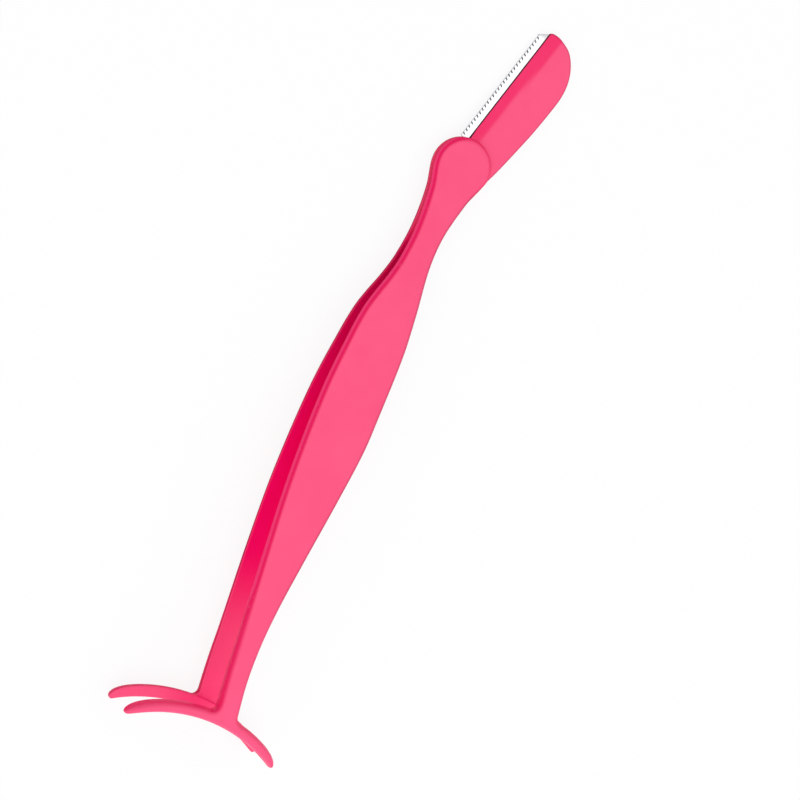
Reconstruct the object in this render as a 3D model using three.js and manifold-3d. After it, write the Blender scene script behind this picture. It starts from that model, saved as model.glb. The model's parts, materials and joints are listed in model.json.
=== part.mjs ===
// Lash-applicator tweezers with a fold-out guarded eyebrow razor, in millimetres.
// The tool is drawn about its middle plane: the razor's pivot is the origin, +X runs to the clamp,
// +Y to the razor's spine side and +Z to the front arm. It is then laid down as it rests on a table.
import * as THREE from "three";
import { mergeVertices } from "three/addons/utils/BufferGeometryUtils.js";
import Module from "manifold-3d";

// Arm outline, measured from the pivot: the blade side and the spine side differ
const HEAD_RADIUS = 5.7;
const HEAD_Y = 0.55;
const NECK_X = 13.1;
const NECK_BLADE_SIDE = 3.22;
const NECK_SPINE_SIDE = 2.7;
const GRIP_X = 48;
const GRIP_BLADE_SIDE = 7.68;
const GRIP_SPINE_SIDE = 4.9;
const SHANK_X = 95;
const SHANK_BLADE_SIDE = 3.55;
const SHANK_SPINE_SIDE = 1.25;
const ROOT_BLADE_SIDE = 1.7;
const ROOT_SPINE_SIDE = 2.65;

// Arm side view
const HEAD_THICKNESS = 0.85;
const ARM_THICKNESS = 1.15;
const CLAMP_THICKNESS = 2.4;
const EDGE_RADIUS = 1.0;
const HEAD_GAP = 1.25;
const SPLAY_X = 9.4;
const SPLAY_LENGTH = 14;
const BEND_X = 72.5;
const BEND_LENGTH = 14;
const BEND_GAP = 8.2;
const CLAMP_GAP = 9.4;

// Forked clamp: a concave bar across the end of each arm
const CLAMP_X = 111.4;
const CLAMP_Y = -2.3;
const CLAMP_ARC_RADIUS = 30.5;
const CLAMP_HALF_WIDTH = 15.3;
const HORN_WIDTH = 2.3;
const HORN_TAPER = 0.25;
const HORN_NOSE = 0.4;
const HORN_CROWN = 0.5;
const HORN_TIP_THICKNESS = 0.9;
const HORN_ROUNDING = 0.8;
const CORNER_RADIUS = 1.1;
const PAD_STEP = 0.3;

// Pivot and neck block
const PIN_RADIUS = 1.2;
const PIN_DEPTH = 0.4;
const PIN_CLEARANCE = 0.1;
const BLOCK_START_X = 2.4;
const BLOCK_END_X = 13;
const BLOCK_WIDTH = 0.8;
const BLOCK_CLEARANCE = 0.05;

// Razor, drawn along its own axis and turned about the pivot
const RAZOR_ANGLE = 14.5;
const HOLDER_LENGTH = 30.7;
const HOLDER_THICKNESS = 1;
const HOLDER_SPINE = 7.8;
const HOLDER_EDGE = 1.75;
const HOLDER_ROUNDING = 0.25;
const BEVEL_DEPTH = 0.2;
const TANG_RADIUS = 4.6;
const BLADE_THICKNESS = 0.15;
const BLADE_DEPTH = 4.4;
const GUARD_START = 4.75;
const GUARD_EDGE = 3.5;
const GUARD_TUCK = 0.6;
const GUARD_FOIL = 0.08;
const GUARD_LEAD = 0.5;
const GUARD_TRAIL = 2;
const GUARD_TRIM = 1.3;
const GUARD_SLOTS = 29;
const GUARD_SLOT_WIDTH = 0.32;
const GUARD_SLOT_DEPTH = 0.58;
const GUARD_SLOT_SLANT = 22;
const SEAT = 0.03;

const PINK = 0xfe5c87;
const STEEL = 0xd9dbde;

const wasm = await Module();
wasm.setup();

const mix = (a, b, share) => a + (b - a) * share;
const radians = (degrees) => (degrees * Math.PI) / 180;

function solidOf(geometry) {
  const bare = geometry.index ? geometry.toNonIndexed() : geometry.clone();
  bare.deleteAttribute("normal");
  bare.deleteAttribute("uv");
  const merged = mergeVertices(bare, 1e-4);
  const place = merged.attributes.position;
  const corners = merged.index.array;
  const kept = [];
  let volume = 0;
  const a = new THREE.Vector3();
  const b = new THREE.Vector3();
  const c = new THREE.Vector3();
  for (let i = 0; i < corners.length; i += 3) {
    const [p, q, r] = [corners[i], corners[i + 1], corners[i + 2]];
    if (p === q || q === r || p === r) continue;
    kept.push(p, q, r);
    a.fromBufferAttribute(place, p);
    b.fromBufferAttribute(place, q);
    c.fromBufferAttribute(place, r);
    volume += a.dot(b.cross(c));
  }
  if (volume < 0) kept.reverse();
  const mesh = { numProp: 3, vertProperties: place.array, triVerts: new Uint32Array(kept) };
  return new wasm.Manifold(new wasm.Mesh(mesh));
}

function geometryOf(solid) {
  const mesh = solid.getMesh();
  const geometry = new THREE.BufferGeometry();
  geometry.setAttribute("position", new THREE.BufferAttribute(mesh.vertProperties, 3));
  geometry.setIndex(new THREE.BufferAttribute(mesh.triVerts, 1));
  geometry.computeVertexNormals();
  return geometry;
}

// Skins a row of closed rings that all have the same number of points, and caps both ends
function loft(rings) {
  const count = rings[0].length;
  const points = [];
  const face = (a, b, c) => points.push(...a.toArray(), ...b.toArray(), ...c.toArray());
  for (let i = 0; i + 1 < rings.length; i++) {
    for (let j = 0; j < count; j++) {
      const k = (j + 1) % count;
      face(rings[i][j], rings[i][k], rings[i + 1][k]);
      face(rings[i][j], rings[i + 1][k], rings[i + 1][j]);
    }
  }
  for (let j = 1; j + 1 < count; j++) {
    face(rings[0][0], rings[0][j + 1], rings[0][j]);
    face(rings.at(-1)[0], rings.at(-1)[j], rings.at(-1)[j + 1]);
  }
  const geometry = new THREE.BufferGeometry();
  geometry.setAttribute("position", new THREE.Float32BufferAttribute(points, 3));
  return solidOf(geometry);
}

function box(x0, x1, y0, y1, z0, z1) {
  const geometry = new THREE.BoxGeometry(x1 - x0, y1 - y0, z1 - z0);
  return geometry.translate((x0 + x1) / 2, (y0 + y1) / 2, (z0 + z1) / 2);
}

function rod(radius, z0, z1) {
  const geometry = new THREE.CylinderGeometry(radius, radius, z1 - z0, 40);
  return geometry.rotateX(Math.PI / 2).translate(0, 0, (z0 + z1) / 2);
}

// Smooth curve through knots [x, y], level at the first
function through(knots, x) {
  let i = 0;
  while (i < knots.length - 2 && x > knots[i + 1][0]) i++;
  const slope = (k) => {
    if (k === 0) return 0;
    const before = knots[k - 1];
    const after = knots[Math.min(k + 1, knots.length - 1)];
    return (after[1] - before[1]) / (after[0] - before[0]);
  };
  const [x0, y0] = knots[i];
  const [x1, y1] = knots[i + 1];
  const run = x1 - x0;
  const t = (x - x0) / run;
  const ease = t * t * (3 - 2 * t);
  return mix(y0, y1, ease) + run * t * (1 - t) * ((1 - t) * slope(i) - t * slope(i + 1));
}

// Side of the arm outline from five widths, with the way it swings from each to the next
const rootX = CLAMP_X - HORN_WIDTH;
const stops = [0, NECK_X, GRIP_X, SHANK_X, rootX];
function sideKnots(widths, swings) {
  const knots = [[0, widths[0]]];
  for (let i = 0; i + 1 < stops.length; i++) {
    for (const [along, share] of swings[i]) {
      knots.push([mix(stops[i], stops[i + 1], along), mix(widths[i], widths[i + 1], share)]);
    }
    knots.push([stops[i + 1], widths[i + 1]]);
  }
  return knots;
}
const bladeKnots = sideKnots(
  [HEAD_RADIUS - HEAD_Y, NECK_BLADE_SIDE, GRIP_BLADE_SIDE, SHANK_BLADE_SIDE, ROOT_BLADE_SIDE],
  [
    [[0.44, 0.665]],
    [[0.18, 0.085], [0.298, 0.274], [0.43, 0.583], [0.513, 0.74], [0.66, 0.87]],
    [[0.36, 0.162], [0.68, 0.5375]],
    [[0.5, 0.44]],
  ],
);
const spineKnots = sideKnots(
  [HEAD_RADIUS + HEAD_Y, NECK_SPINE_SIDE, GRIP_SPINE_SIDE, SHANK_SPINE_SIDE, ROOT_SPINE_SIDE],
  [
    [[0.1, 0.093], [0.267, 0.324], [0.44, 0.563]],
    [[0.18, -0.05], [0.43, 0.495], [0.66, 0.882]],
    [[0.15, 0], [0.36, 0.249], [0.68, 0.712], [0.85, 0.923]],
    [[0.5, 0.243]],
  ],
);

// Rounded inside corners where the shank runs into the clamp, one on each side
const clampCentreX = CLAMP_X + CLAMP_ARC_RADIUS;
function cornerX(y) {
  return clampCentreX - Math.sqrt((CLAMP_ARC_RADIUS + HORN_WIDTH) ** 2 - (y - CLAMP_Y) ** 2);
}
const bladeCorner = cornerX(-ROOT_BLADE_SIDE - CORNER_RADIUS);
const spineCorner = cornerX(ROOT_SPINE_SIDE + CORNER_RADIUS);
function flare(x, corner) {
  const into = Math.min(Math.max(x - corner + CORNER_RADIUS, 0), CORNER_RADIUS);
  return CORNER_RADIUS - Math.sqrt(CORNER_RADIUS ** 2 - into ** 2);
}
const bladeSide = (x) => through(bladeKnots, Math.min(x, rootX)) + flare(x, bladeCorner);
const spineSide = (x) => through(spineKnots, Math.min(x, rootX)) + flare(x, spineCorner);

// Height of a bent line above its straight start, with the bend eased over a length
function bent(x, at, length) {
  const into = x - at + length / 2;
  if (into <= 0) return 0;
  return into < length ? into ** 2 / (2 * length) : x - at;
}
const splay = (BEND_GAP - HEAD_GAP) / 2 / (BEND_X - SPLAY_X);
const straightened = splay - (CLAMP_GAP - BEND_GAP) / 2 / (CLAMP_X - BEND_X);
const thickening = (CLAMP_THICKNESS - ARM_THICKNESS) / (CLAMP_X - BEND_X);
const innerFace = (x) =>
  HEAD_GAP / 2 + splay * bent(x, SPLAY_X, 4) - straightened * bent(x, BEND_X, BEND_LENGTH);
const headSlope = (ARM_THICKNESS - HEAD_THICKNESS) / SPLAY_X;
const outerFace = (x) => {
  const head = HEAD_GAP / 2 + ARM_THICKNESS + headSlope * (x - SPLAY_X);
  const parted = head + (splay - headSlope) * bent(x, SPLAY_X, SPLAY_LENGTH);
  return parted - (straightened - thickening) * bent(x, BEND_X, BEND_LENGTH);
};

// Pads are tilted so that they meet flat when the arms are squeezed together
const closing = Math.atan2(CLAMP_GAP / 2 - PAD_STEP, CLAMP_X - SPLAY_X);
const padFace = (x) => CLAMP_GAP / 2 - PAD_STEP + Math.tan(closing) * (x - CLAMP_X);

// Arm section: flat inside, sharp inner corners, outer edges rounded
const EDGE_STEPS = 4;
function section(lowAt, highAt, most, inner, outer, limit = EDGE_RADIUS, deepest = limit) {
  const drop = Math.min(deepest, 0.85 * (outer - inner));
  const low = [[lowAt(0), inner]];
  const high = [[highAt(0), inner]];
  for (let k = 0; k <= EDGE_STEPS; k++) {
    const turn = ((k / EDGE_STEPS) * Math.PI) / 2;
    const inset = Math.min(limit * (1 - Math.cos(turn)), most);
    const rise = outer - drop + drop * Math.sqrt(1 - (1 - inset / limit) ** 2);
    low.push([lowAt(inset), rise]);
    high.push([highAt(inset), rise]);
  }
  return [...low, ...high.reverse()];
}

function armStations() {
  const stations = [];
  for (let i = 0; i <= 10; i++) stations.push(-HEAD_RADIUS * Math.cos((i * Math.PI) / 20));
  const last = Math.min(bladeCorner, spineCorner) - CORNER_RADIUS;
  for (let i = 1; i <= 14; i++) stations.push((NECK_X * i) / 14);
  for (let i = 1; i <= 36; i++) stations.push(mix(NECK_X, last, i / 36));
  for (const corner of [bladeCorner, spineCorner]) {
    for (let i = 1; i <= 6; i++) {
      stations.push(corner - CORNER_RADIUS * (1 - Math.sin((i * Math.PI) / 12)));
    }
  }
  stations.push(Math.max(bladeCorner, spineCorner) + HORN_WIDTH / 4);
  stations.sort((a, b) => a - b);
  return stations.filter((x, i) => i === 0 || x - stations[i - 1] > 0.01);
}

function ribbon(side) {
  const rings = armStations().map((x) => {
    let low = (inset) => -bladeSide(x) + inset;
    let high = (inset) => spineSide(x) - inset;
    let most = (bladeSide(x) + spineSide(x)) / 2;
    if (x < 0) {
      most = HEAD_RADIUS + x;
      const half = (inset) => Math.sqrt(Math.max(0, (HEAD_RADIUS - inset) ** 2 - x ** 2));
      high = (inset) => HEAD_Y + half(inset);
      low = (inset) => HEAD_Y - half(inset);
    }
    const ring = section(low, high, most, innerFace(x), outerFace(x));
    return ring.map(([y, z]) => new THREE.Vector3(x, y, side * z));
  });
  return loft(rings);
}

// Each horn keeps its width and thickness most of the way out and then rounds off to its nose
function clampBar(side) {
  const end = Math.asin(CLAMP_HALF_WIDTH / CLAMP_ARC_RADIUS);
  const nose = HORN_NOSE / CLAMP_ARC_RADIUS;
  const turns = [];
  for (let i = 0; i <= 6; i++) turns.push(-end + nose * (1 - Math.cos((i * Math.PI) / 12)));
  for (let i = 1; i < 40; i++) turns.push((nose - end) * Math.sin(((1 - i / 20) * Math.PI) / 2));
  for (let i = 6; i >= 0; i--) turns.push(end - nose * (1 - Math.cos((i * Math.PI) / 12)));
  const rings = turns.map((turn) => {
    const out = Math.min(Math.abs(turn) / end, 1);
    const into = Math.min((end - Math.abs(turn)) / nose, 1);
    const hollow = CLAMP_ARC_RADIUS + HORN_NOSE * (1 - Math.sqrt(Math.max(0, 1 - (1 - into) ** 2)));
    const wide = HORN_WIDTH - HORN_TAPER * out ** 2;
    const back = CLAMP_ARC_RADIUS + mix(HORN_NOSE, wide, Math.sqrt(1 - out ** 8));
    const x = clampCentreX - ((hollow + back) / 2) * Math.cos(turn);
    const full = outerFace(x) - padFace(x) + HORN_CROWN * out ** 2;
    const thick = mix(HORN_TIP_THICKNESS, full, Math.sqrt(1 - out ** 8));
    const low = (inset) => hollow + inset;
    const high = (inset) => back - inset;
    const limit = Math.max(0.01, Math.min(EDGE_RADIUS, 0.45 * (back - hollow)));
    const ring = section(low, high, (back - hollow) / 2, 0, thick, limit, HORN_ROUNDING * thick);
    return ring.map(([r, z]) => {
      const px = clampCentreX - r * Math.cos(turn);
      const py = CLAMP_Y + r * Math.sin(turn);
      return new THREE.Vector3(px, py, side * (z + padFace(px)));
    });
  });
  return loft(rings);
}

function arm(side) {
  const socket = HEAD_GAP / 2 + PIN_DEPTH + PIN_CLEARANCE / 2;
  const low = side > 0 ? 0 : -socket;
  const high = side > 0 ? socket : 0;
  const bore = solidOf(rod(PIN_RADIUS + PIN_CLEARANCE, low, high));
  return geometryOf(ribbon(side).add(clampBar(side)).subtract(bore));
}

function neckBlock() {
  const half = HEAD_GAP / 2 - BLOCK_CLEARANCE;
  const clear = TANG_RADIUS + 0.2;
  const rings = [];
  for (let i = 0; i <= 12; i++) {
    const x = mix(BLOCK_START_X, BLOCK_END_X, i / 12);
    const high = spineSide(x) - 0.15;
    const round = Math.sqrt(Math.max(0, clear ** 2 - x ** 2));
    const low = Math.min(Math.max(high - BLOCK_WIDTH, round), high - 0.2);
    const ring = [[low, -half], [high, -half], [high, half], [low, half]];
    rings.push(ring.map(([y, z]) => new THREE.Vector3(x, y, z)));
  }
  return geometryOf(loft(rings));
}

function pivotPin() {
  const end = HEAD_GAP / 2 + PIN_DEPTH;
  const rim = 0.15;
  const profile = [
    [0, -end],
    [PIN_RADIUS - rim, -end],
    [PIN_RADIUS, -end + rim],
    [PIN_RADIUS, end - rim],
    [PIN_RADIUS - rim, end],
    [0, end],
    [0, -end],
  ].map(([r, z]) => new THREE.Vector2(r, z));
  const lathe = new THREE.LatheGeometry(profile, 40).rotateX(Math.PI / 2);
  return geometryOf(solidOf(lathe));
}

// Razor pieces: x along the razor from the pivot, y to the blade side, z through the thickness
const HALF_HOLDER = HOLDER_THICKNESS / 2;
const bladeHalf = BLADE_THICKNESS / 2;
const guardInside = bladeHalf + SEAT;
const guardHalf = guardInside + GUARD_FOIL;
const bladeEnd = HOLDER_LENGTH - 0.85;
const guardTail = HOLDER_EDGE - GUARD_TUCK;
const ground = GUARD_EDGE - 0.12;
const bladeTail = ground - BLADE_DEPTH;

function holder() {
  const spine = [
    [0.13, 0.857],
    [0.3, 0.926],
    [0.46, 0.978],
    [0.62, 1],
    [0.74, 0.99],
    [0.837, 0.893],
    [0.918, 0.698],
    [0.977, 0.42],
    [1, 0.06],
  ].map(([along, across]) => new THREE.Vector2(along * HOLDER_LENGTH, -across * HOLDER_SPINE));
  const start = Math.asin(HOLDER_EDGE / TANG_RADIUS);
  const stop = radians(260);
  const outline = new THREE.Shape();
  outline.moveTo(-0.55, -0.765 * HOLDER_SPINE);
  outline.splineThru(spine);
  outline.quadraticCurveTo(HOLDER_LENGTH, 0.7 * HOLDER_EDGE, bladeEnd + 0.35, HOLDER_EDGE);
  outline.lineTo(TANG_RADIUS * Math.cos(start), HOLDER_EDGE);
  outline.absarc(0, 0, TANG_RADIUS, start, stop, false);
  const points = outline.getPoints(8);
  const spread = points.filter((point, i) => i === 0 || point.distanceTo(points[i - 1]) > 0.05);
  const plate = new THREE.ExtrudeGeometry(new THREE.Shape(spread), {
    depth: HOLDER_THICKNESS - 2 * HOLDER_ROUNDING,
    bevelEnabled: true,
    bevelThickness: HOLDER_ROUNDING,
    bevelSize: HOLDER_ROUNDING,
    bevelOffset: -HOLDER_ROUNDING,
    bevelSegments: 3,
  });
  plate.translate(0, 0, HOLDER_ROUNDING - HALF_HOLDER);
  let body = solidOf(plate);
  for (const side of [-1, 1]) body = body.subtract(bevelCut(side));
  body = body.subtract(solidOf(rod(PIN_RADIUS + PIN_CLEARANCE / 2, -2, 2)));
  const guardRoom = guardHalf + SEAT;
  const bladeRoom = bladeHalf + SEAT;
  const front = GUARD_START - 0.15;
  const back = bladeEnd + 0.15;
  const guardSlot = box(front, back, guardTail - SEAT, 3, -guardRoom, guardRoom);
  const bladeSlot = box(front, back, bladeTail - SEAT, 3, -bladeRoom, bladeRoom);
  return geometryOf(body.subtract(solidOf(guardSlot)).subtract(solidOf(bladeSlot)));
}

// Shallow facet beside the blade, running out at the head and widening to the tip
function bevelCut(side) {
  const at = (x, ridge) => {
    const foot = HALF_HOLDER - BEVEL_DEPTH;
    const past = HOLDER_EDGE + 0.5;
    const fall = foot - (BEVEL_DEPTH * 0.5) / (HOLDER_EDGE - ridge);
    const ring = [[ridge, HALF_HOLDER], [ridge, 1.5], [past, 1.5], [past, fall]];
    return ring.map(([y, z]) => new THREE.Vector3(x, y, side * z));
  };
  return loft([at(HEAD_RADIUS + 0.2, 0), at(HOLDER_LENGTH + 0.5, -1.05)]);
}

function blade() {
  const profile = new THREE.Shape();
  profile.moveTo(bladeTail, -bladeHalf);
  profile.lineTo(ground - 0.5, -bladeHalf);
  profile.lineTo(ground, -0.02);
  profile.lineTo(ground, 0.02);
  profile.lineTo(ground - 0.5, bladeHalf);
  profile.lineTo(bladeTail, bladeHalf);
  profile.closePath();
  const strip = solidOf(alongRazor(profile, GUARD_START, bladeEnd));
  return geometryOf(strip.subtract(tipTrim(0.1)));
}

// Extrudes a profile drawn in (y, z) along the razor from start to end
function alongRazor(profile, start, end) {
  const depth = end - start;
  const geometry = new THREE.ExtrudeGeometry(profile, { depth, bevelEnabled: false, curveSegments: 6 });
  const turn = new THREE.Matrix4().set(0, 0, 1, start, 1, 0, 0, 0, 0, 1, 0, 0, 0, 0, 0, 1);
  return geometry.applyMatrix4(turn);
}

// Wedge that takes the outer corner off the tip of the strip and the guard
function tipTrim(more) {
  const at = (y, trim) => {
    const x = bladeEnd - trim - more;
    const ring = [[x, -1], [bladeEnd + 1, -1], [bladeEnd + 1, 1], [x, 1]];
    return ring.map(([px, pz]) => new THREE.Vector3(px, y, pz));
  };
  return loft([at(HOLDER_EDGE + 0.2, 0), at(GUARD_EDGE + 0.2, GUARD_TRIM * 1.14)]);
}

function guard() {
  const fold = GUARD_EDGE - guardHalf;
  const profile = new THREE.Shape();
  profile.moveTo(guardTail, -guardHalf);
  profile.lineTo(fold, -guardHalf);
  profile.absarc(fold, 0, guardHalf, -Math.PI / 2, Math.PI / 2, false);
  profile.lineTo(guardTail, guardHalf);
  profile.lineTo(guardTail, guardInside);
  profile.lineTo(fold, guardInside);
  profile.absarc(fold, 0, guardInside, Math.PI / 2, -Math.PI / 2, true);
  profile.lineTo(guardTail, -guardInside);
  profile.closePath();
  let foil = solidOf(alongRazor(profile, GUARD_START, bladeEnd)).subtract(tipTrim(0));
  const first = GUARD_START + GUARD_LEAD;
  const pitch = (bladeEnd - GUARD_TRAIL - first) / (GUARD_SLOTS - 1);
  const lean = Math.tan(radians(GUARD_SLOT_SLANT));
  for (let i = 0; i < GUARD_SLOTS; i++) {
    const x = first + pitch * i;
    const at = (y) => {
      const middle = x + lean * (y - GUARD_EDGE);
      const half = GUARD_SLOT_WIDTH / 2;
      const ring = [[middle - half, -1], [middle + half, -1], [middle + half, 1], [middle - half, 1]];
      return ring.map(([px, pz]) => new THREE.Vector3(px, y, pz));
    };
    foil = foil.subtract(loft([at(GUARD_EDGE - GUARD_SLOT_DEPTH), at(GUARD_EDGE + 1)]));
  }
  return geometryOf(foil);
}

function piece(name, geometry, color, roughness, metalness) {
  const mesh = new THREE.Mesh(geometry, new THREE.MeshStandardMaterial({ color, roughness, metalness }));
  mesh.name = name;
  return mesh;
}

const tool = new THREE.Group();
tool.add(piece("front_arm", arm(1), PINK, 0.5, 0));
tool.add(piece("rear_arm", arm(-1), PINK, 0.5, 0));
tool.add(piece("neck_block", neckBlock(), PINK, 0.5, 0));
tool.add(piece("pivot_pin", pivotPin(), STEEL, 0.3, 1));

// The razor's x runs away from the clamp and its y to the blade side
const razor = new THREE.Group();
razor.add(piece("razor_holder", holder(), PINK, 0.45, 0));
razor.add(piece("razor_blade", blade(), STEEL, 0.25, 1));
razor.add(piece("blade_guard", guard(), STEEL, 0.3, 1));
razor.rotation.z = Math.PI - radians(RAZOR_ANGLE);
tool.add(razor);

// At rest it lies on the horns of the rear clamp and the tip of the razor
razor.updateMatrix();
const back = razor.getObjectByName("razor_holder").geometry.attributes.position;
const corner = new THREE.Vector3();
let tipX = 0;
for (let i = 0; i < back.count; i++) {
  corner.fromBufferAttribute(back, i).applyMatrix4(razor.matrix);
  if (corner.z < 0.001 - HALF_HOLDER) tipX = Math.min(tipX, corner.x);
}
const under = tool.getObjectByName("rear_arm").geometry.attributes.position;
let tilt = 0;
for (let i = 0; i < under.count; i++) {
  tilt = Math.max(tilt, Math.atan2(-under.getZ(i) - HALF_HOLDER, under.getX(i) - tipX));
}
tool.rotation.y = -tilt;
tool.updateMatrixWorld(true);
const extent = new THREE.Box3().setFromObject(tool, true);
const middle = extent.getCenter(new THREE.Vector3());
tool.position.set(-middle.x, -middle.y, -extent.min.z);

const tweezers = new THREE.Group();
tweezers.name = "lash_tweezers";
tweezers.add(tool);
export default tweezers;
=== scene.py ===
"""Sprung lash-applicator tweezers with a fold-out guarded razor, finished over the packed frame.

Pieces are drawn in millimetres about the razor's pivot: +X runs to the clamp, +Y to the razor's
spine side and +Z to the front arm. TOOL then puts them where the packed model lies.
"""

import json
import math
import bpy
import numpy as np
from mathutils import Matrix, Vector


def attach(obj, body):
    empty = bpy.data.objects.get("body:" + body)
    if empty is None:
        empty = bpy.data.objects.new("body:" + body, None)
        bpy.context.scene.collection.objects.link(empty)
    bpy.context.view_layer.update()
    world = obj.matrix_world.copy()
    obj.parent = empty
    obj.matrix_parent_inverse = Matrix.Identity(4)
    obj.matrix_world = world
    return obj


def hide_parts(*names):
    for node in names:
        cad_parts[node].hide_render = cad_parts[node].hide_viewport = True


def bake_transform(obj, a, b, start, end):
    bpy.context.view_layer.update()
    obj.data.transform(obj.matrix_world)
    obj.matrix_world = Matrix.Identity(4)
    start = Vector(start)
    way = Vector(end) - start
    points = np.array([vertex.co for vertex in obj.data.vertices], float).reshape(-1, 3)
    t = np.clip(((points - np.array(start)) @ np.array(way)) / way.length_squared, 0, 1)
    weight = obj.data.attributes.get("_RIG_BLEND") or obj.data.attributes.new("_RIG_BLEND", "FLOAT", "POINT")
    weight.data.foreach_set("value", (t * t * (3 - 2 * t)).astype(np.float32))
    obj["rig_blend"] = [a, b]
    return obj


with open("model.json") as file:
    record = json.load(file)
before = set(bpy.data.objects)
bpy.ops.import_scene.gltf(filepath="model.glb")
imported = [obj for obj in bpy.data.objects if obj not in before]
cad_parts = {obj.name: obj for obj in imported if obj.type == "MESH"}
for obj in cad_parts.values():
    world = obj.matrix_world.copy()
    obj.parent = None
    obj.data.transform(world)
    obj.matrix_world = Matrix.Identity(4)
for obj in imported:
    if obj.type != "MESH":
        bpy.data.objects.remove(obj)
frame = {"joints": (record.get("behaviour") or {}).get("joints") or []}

from types import SimpleNamespace

import bmesh
import bpy
import numpy as np
from bpy.props import FloatProperty, FloatVectorProperty, IntProperty, PointerProperty
from mathutils import Matrix, Vector
from mathutils.geometry import delaunay_2d_cdt

bl_info = {
    "name": "Lash Tweezers with Razor",
    "version": (1, 0, 0),
    "blender": (4, 5, 0),
    "location": "View3D > Sidebar > Tweezers",
    "description": "Builds sprung lash-applicator tweezers with a fold-out guarded razor",
    "category": "Add Mesh",
}

# Spacing in mm of the points drawn along an outline and across a face
OUTLINE_STEP = 0.16
FACE_STEP = 1.3
HOLDER_FACE_STEP = 0.7

# Steps round the rims of the outer and inner faces, and along the curves of the pieces
RIM_STEPS = 7
UNDER_STEPS = 3
HEAD_STEPS = 30
SIDE_STEPS = 260
CORNER_STEPS = 12
HORN_STEPS = 60
NOSE_STEPS = 10
HOLLOW_STEPS = 160
BLOCK_STEPS = 40
BACK_STEPS = 16
TANG_STEPS = 60
PIN_STEPS = 64
BLADE_STEPS = 90

# Stretches of an arm, in mm from the pivot: where it bends, and where its painted shade and painted edge
# lines come and go
NECK_BEND = (5, 19)
SHADE_COMES = (9, 18)
SHADE_GOES = (79, 98)
DEEP_COMES = (12, 20)
DEEP_GOES = (12, 62)
HEAD_GOES = (0, 5)
FOOT_GOES = (82, 94)
REAR_LINE_GOES = (78, 96)

# Strengths of that painted shade: shares that are lost where it goes, its softness on the head, its
# sharpness on the horns, and the painted shades of the step and of the pads, middle first
SHADE_LOSS = 0.65
FOOT_LOSS = 0.38
REAR_LINE_LOSS = 0.7
HOLLOW_LOSS = 0.85
SPINE_LOSS = 0.58
UNDER_EDGE_LOSS = 0.6
BLOCK_LOSS = 0.9
HEAD_SOFTNESS = 0.9
HORN_SHARPNESS = 1.8
STEP_SHADE = 0.75
PAD_SHADES = (0.5, 0.1)
HOLDER_RIM = 0.36
GUARD_END_TONE = 0.5

# Room in mm for the rounding of edges that nothing crowds, and what a rounding takes of the room
# and of the thickness, outside and inside
AMPLE_ROOM = 5
ROOM_SHARE = 0.9
BEND_SHARE = 0.8
FALL_SHARE = 0.85
FALL_LIMIT = 0.88
UNDER_ROOM_SHARE = 0.5
UNDER_LIFT_SHARE = 0.1

# Flat row just inside a rim: greatest width in mm, and share of the rounding
FLAT_ROW = (0.12, 0.08)

# Points by the pads' step: turns about the clamp's centre that it spans, and offsets in mm
STEP_TURNS = (-0.09, 0.17)
STEP_OFFSETS = (-0.2, -0.06, 0.06, 0.2)

# Widths in mm: the painted line of that step, the run into the horns, and the bare faces round the
# pin's sockets and round the holder's hole
STEP_LINE = 0.1
HORN_RUN_IN = 2
SOCKET_MARGIN = 0.8
HOLE_MARGIN = 0.5

# Depth in mm of the guard's foot just outside the holder, painted dark as the slot's shadow
ROOT_DEPTH = 0.2

# Section of the blade: distances in mm from its back and from its edge, and shares of its thickness
BLADE_BACK = ((0, 0.7), (0.03, 1))
BLADE_GRIND = ((0.9, 1), (0.5, 0.98), (0.22, 0.6), (0.06, 0.3), (0, 0.12))

# Distances in mm from the blade's edge between which its darker ground tone comes, partly painted shade seen
# through the guard's slots
GROUND_TONE = (0.7, 0.5)

# Places in mm on the razor: the holder's edge past the blade's end, the depth that counts as the
# slot's mouth with its painted shadow, the painted shade's lead ahead of the facet and the blade's end
# inside the guard
EDGE_LEAD = 0.35
MOUTH_DEPTH = 0.3
TONE_LEAD = 1.1
BLADE_SHORT = 0.1

# Outline of the holder: share of the edge's depth where its tip turns in, and the turn in degrees
# at which its round end meets its back
TIP_TURN_IN = 0.7
TANG_END = 260

# Angle in degrees past which the guard's edges are sharp
SHARP_ANGLE = 40

# Softboxes: distance from the tool and size in metres, and the way to the fill
KEY_BOX = (0.9, 0.8)
FILL_BOX = (0.45, 0.3)
FILL_WAY = (0.85, -0.2, 0.48)
FLOOR_REACH = 3

# Ways that each side of the arm swings from one width to the next: (along, share)
BLADE_SWINGS = (
    ((0.44, 0.665),),
    ((0.18, 0.085), (0.298, 0.274), (0.43, 0.583), (0.513, 0.74), (0.66, 0.87)),
    ((0.36, 0.162), (0.68, 0.5375)),
    ((0.5, 0.44),),
)
SPINE_SWINGS = (
    ((0.1, 0.093), (0.267, 0.324), (0.44, 0.563)),
    ((0.18, -0.05), (0.43, 0.495), (0.66, 0.882)),
    ((0.15, 0), (0.36, 0.249), (0.68, 0.712), (0.85, 0.923)),
    ((0.5, 0.243),),
)

# Back of the razor holder, as shares of its length and of its spine's depth
HOLDER_BACK = (
    *((-0.018, 0.765), (0.13, 0.857), (0.3, 0.926), (0.46, 0.978), (0.62, 1.0)),
    *((0.74, 0.99), (0.837, 0.893), (0.918, 0.698), (0.977, 0.42), (1.0, 0.06)),
)


def length(name, description, millimetres):
    size = millimetres / 1000
    return FloatProperty(name=name, description=description, default=size, unit="LENGTH", precision=5)


def sides(name, description, blade, spine):
    """Half widths of the arm on the blade side and on the spine side, in millimetres."""
    widths = (blade / 1000, spine / 1000)
    return FloatVectorProperty(
        name=name, description=description, default=widths, size=2, unit="LENGTH", precision=5
    )


def angle(name, description, degrees):
    turn = math.radians(degrees)
    return FloatProperty(name=name, description=description, default=turn, unit="ROTATION")


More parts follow.
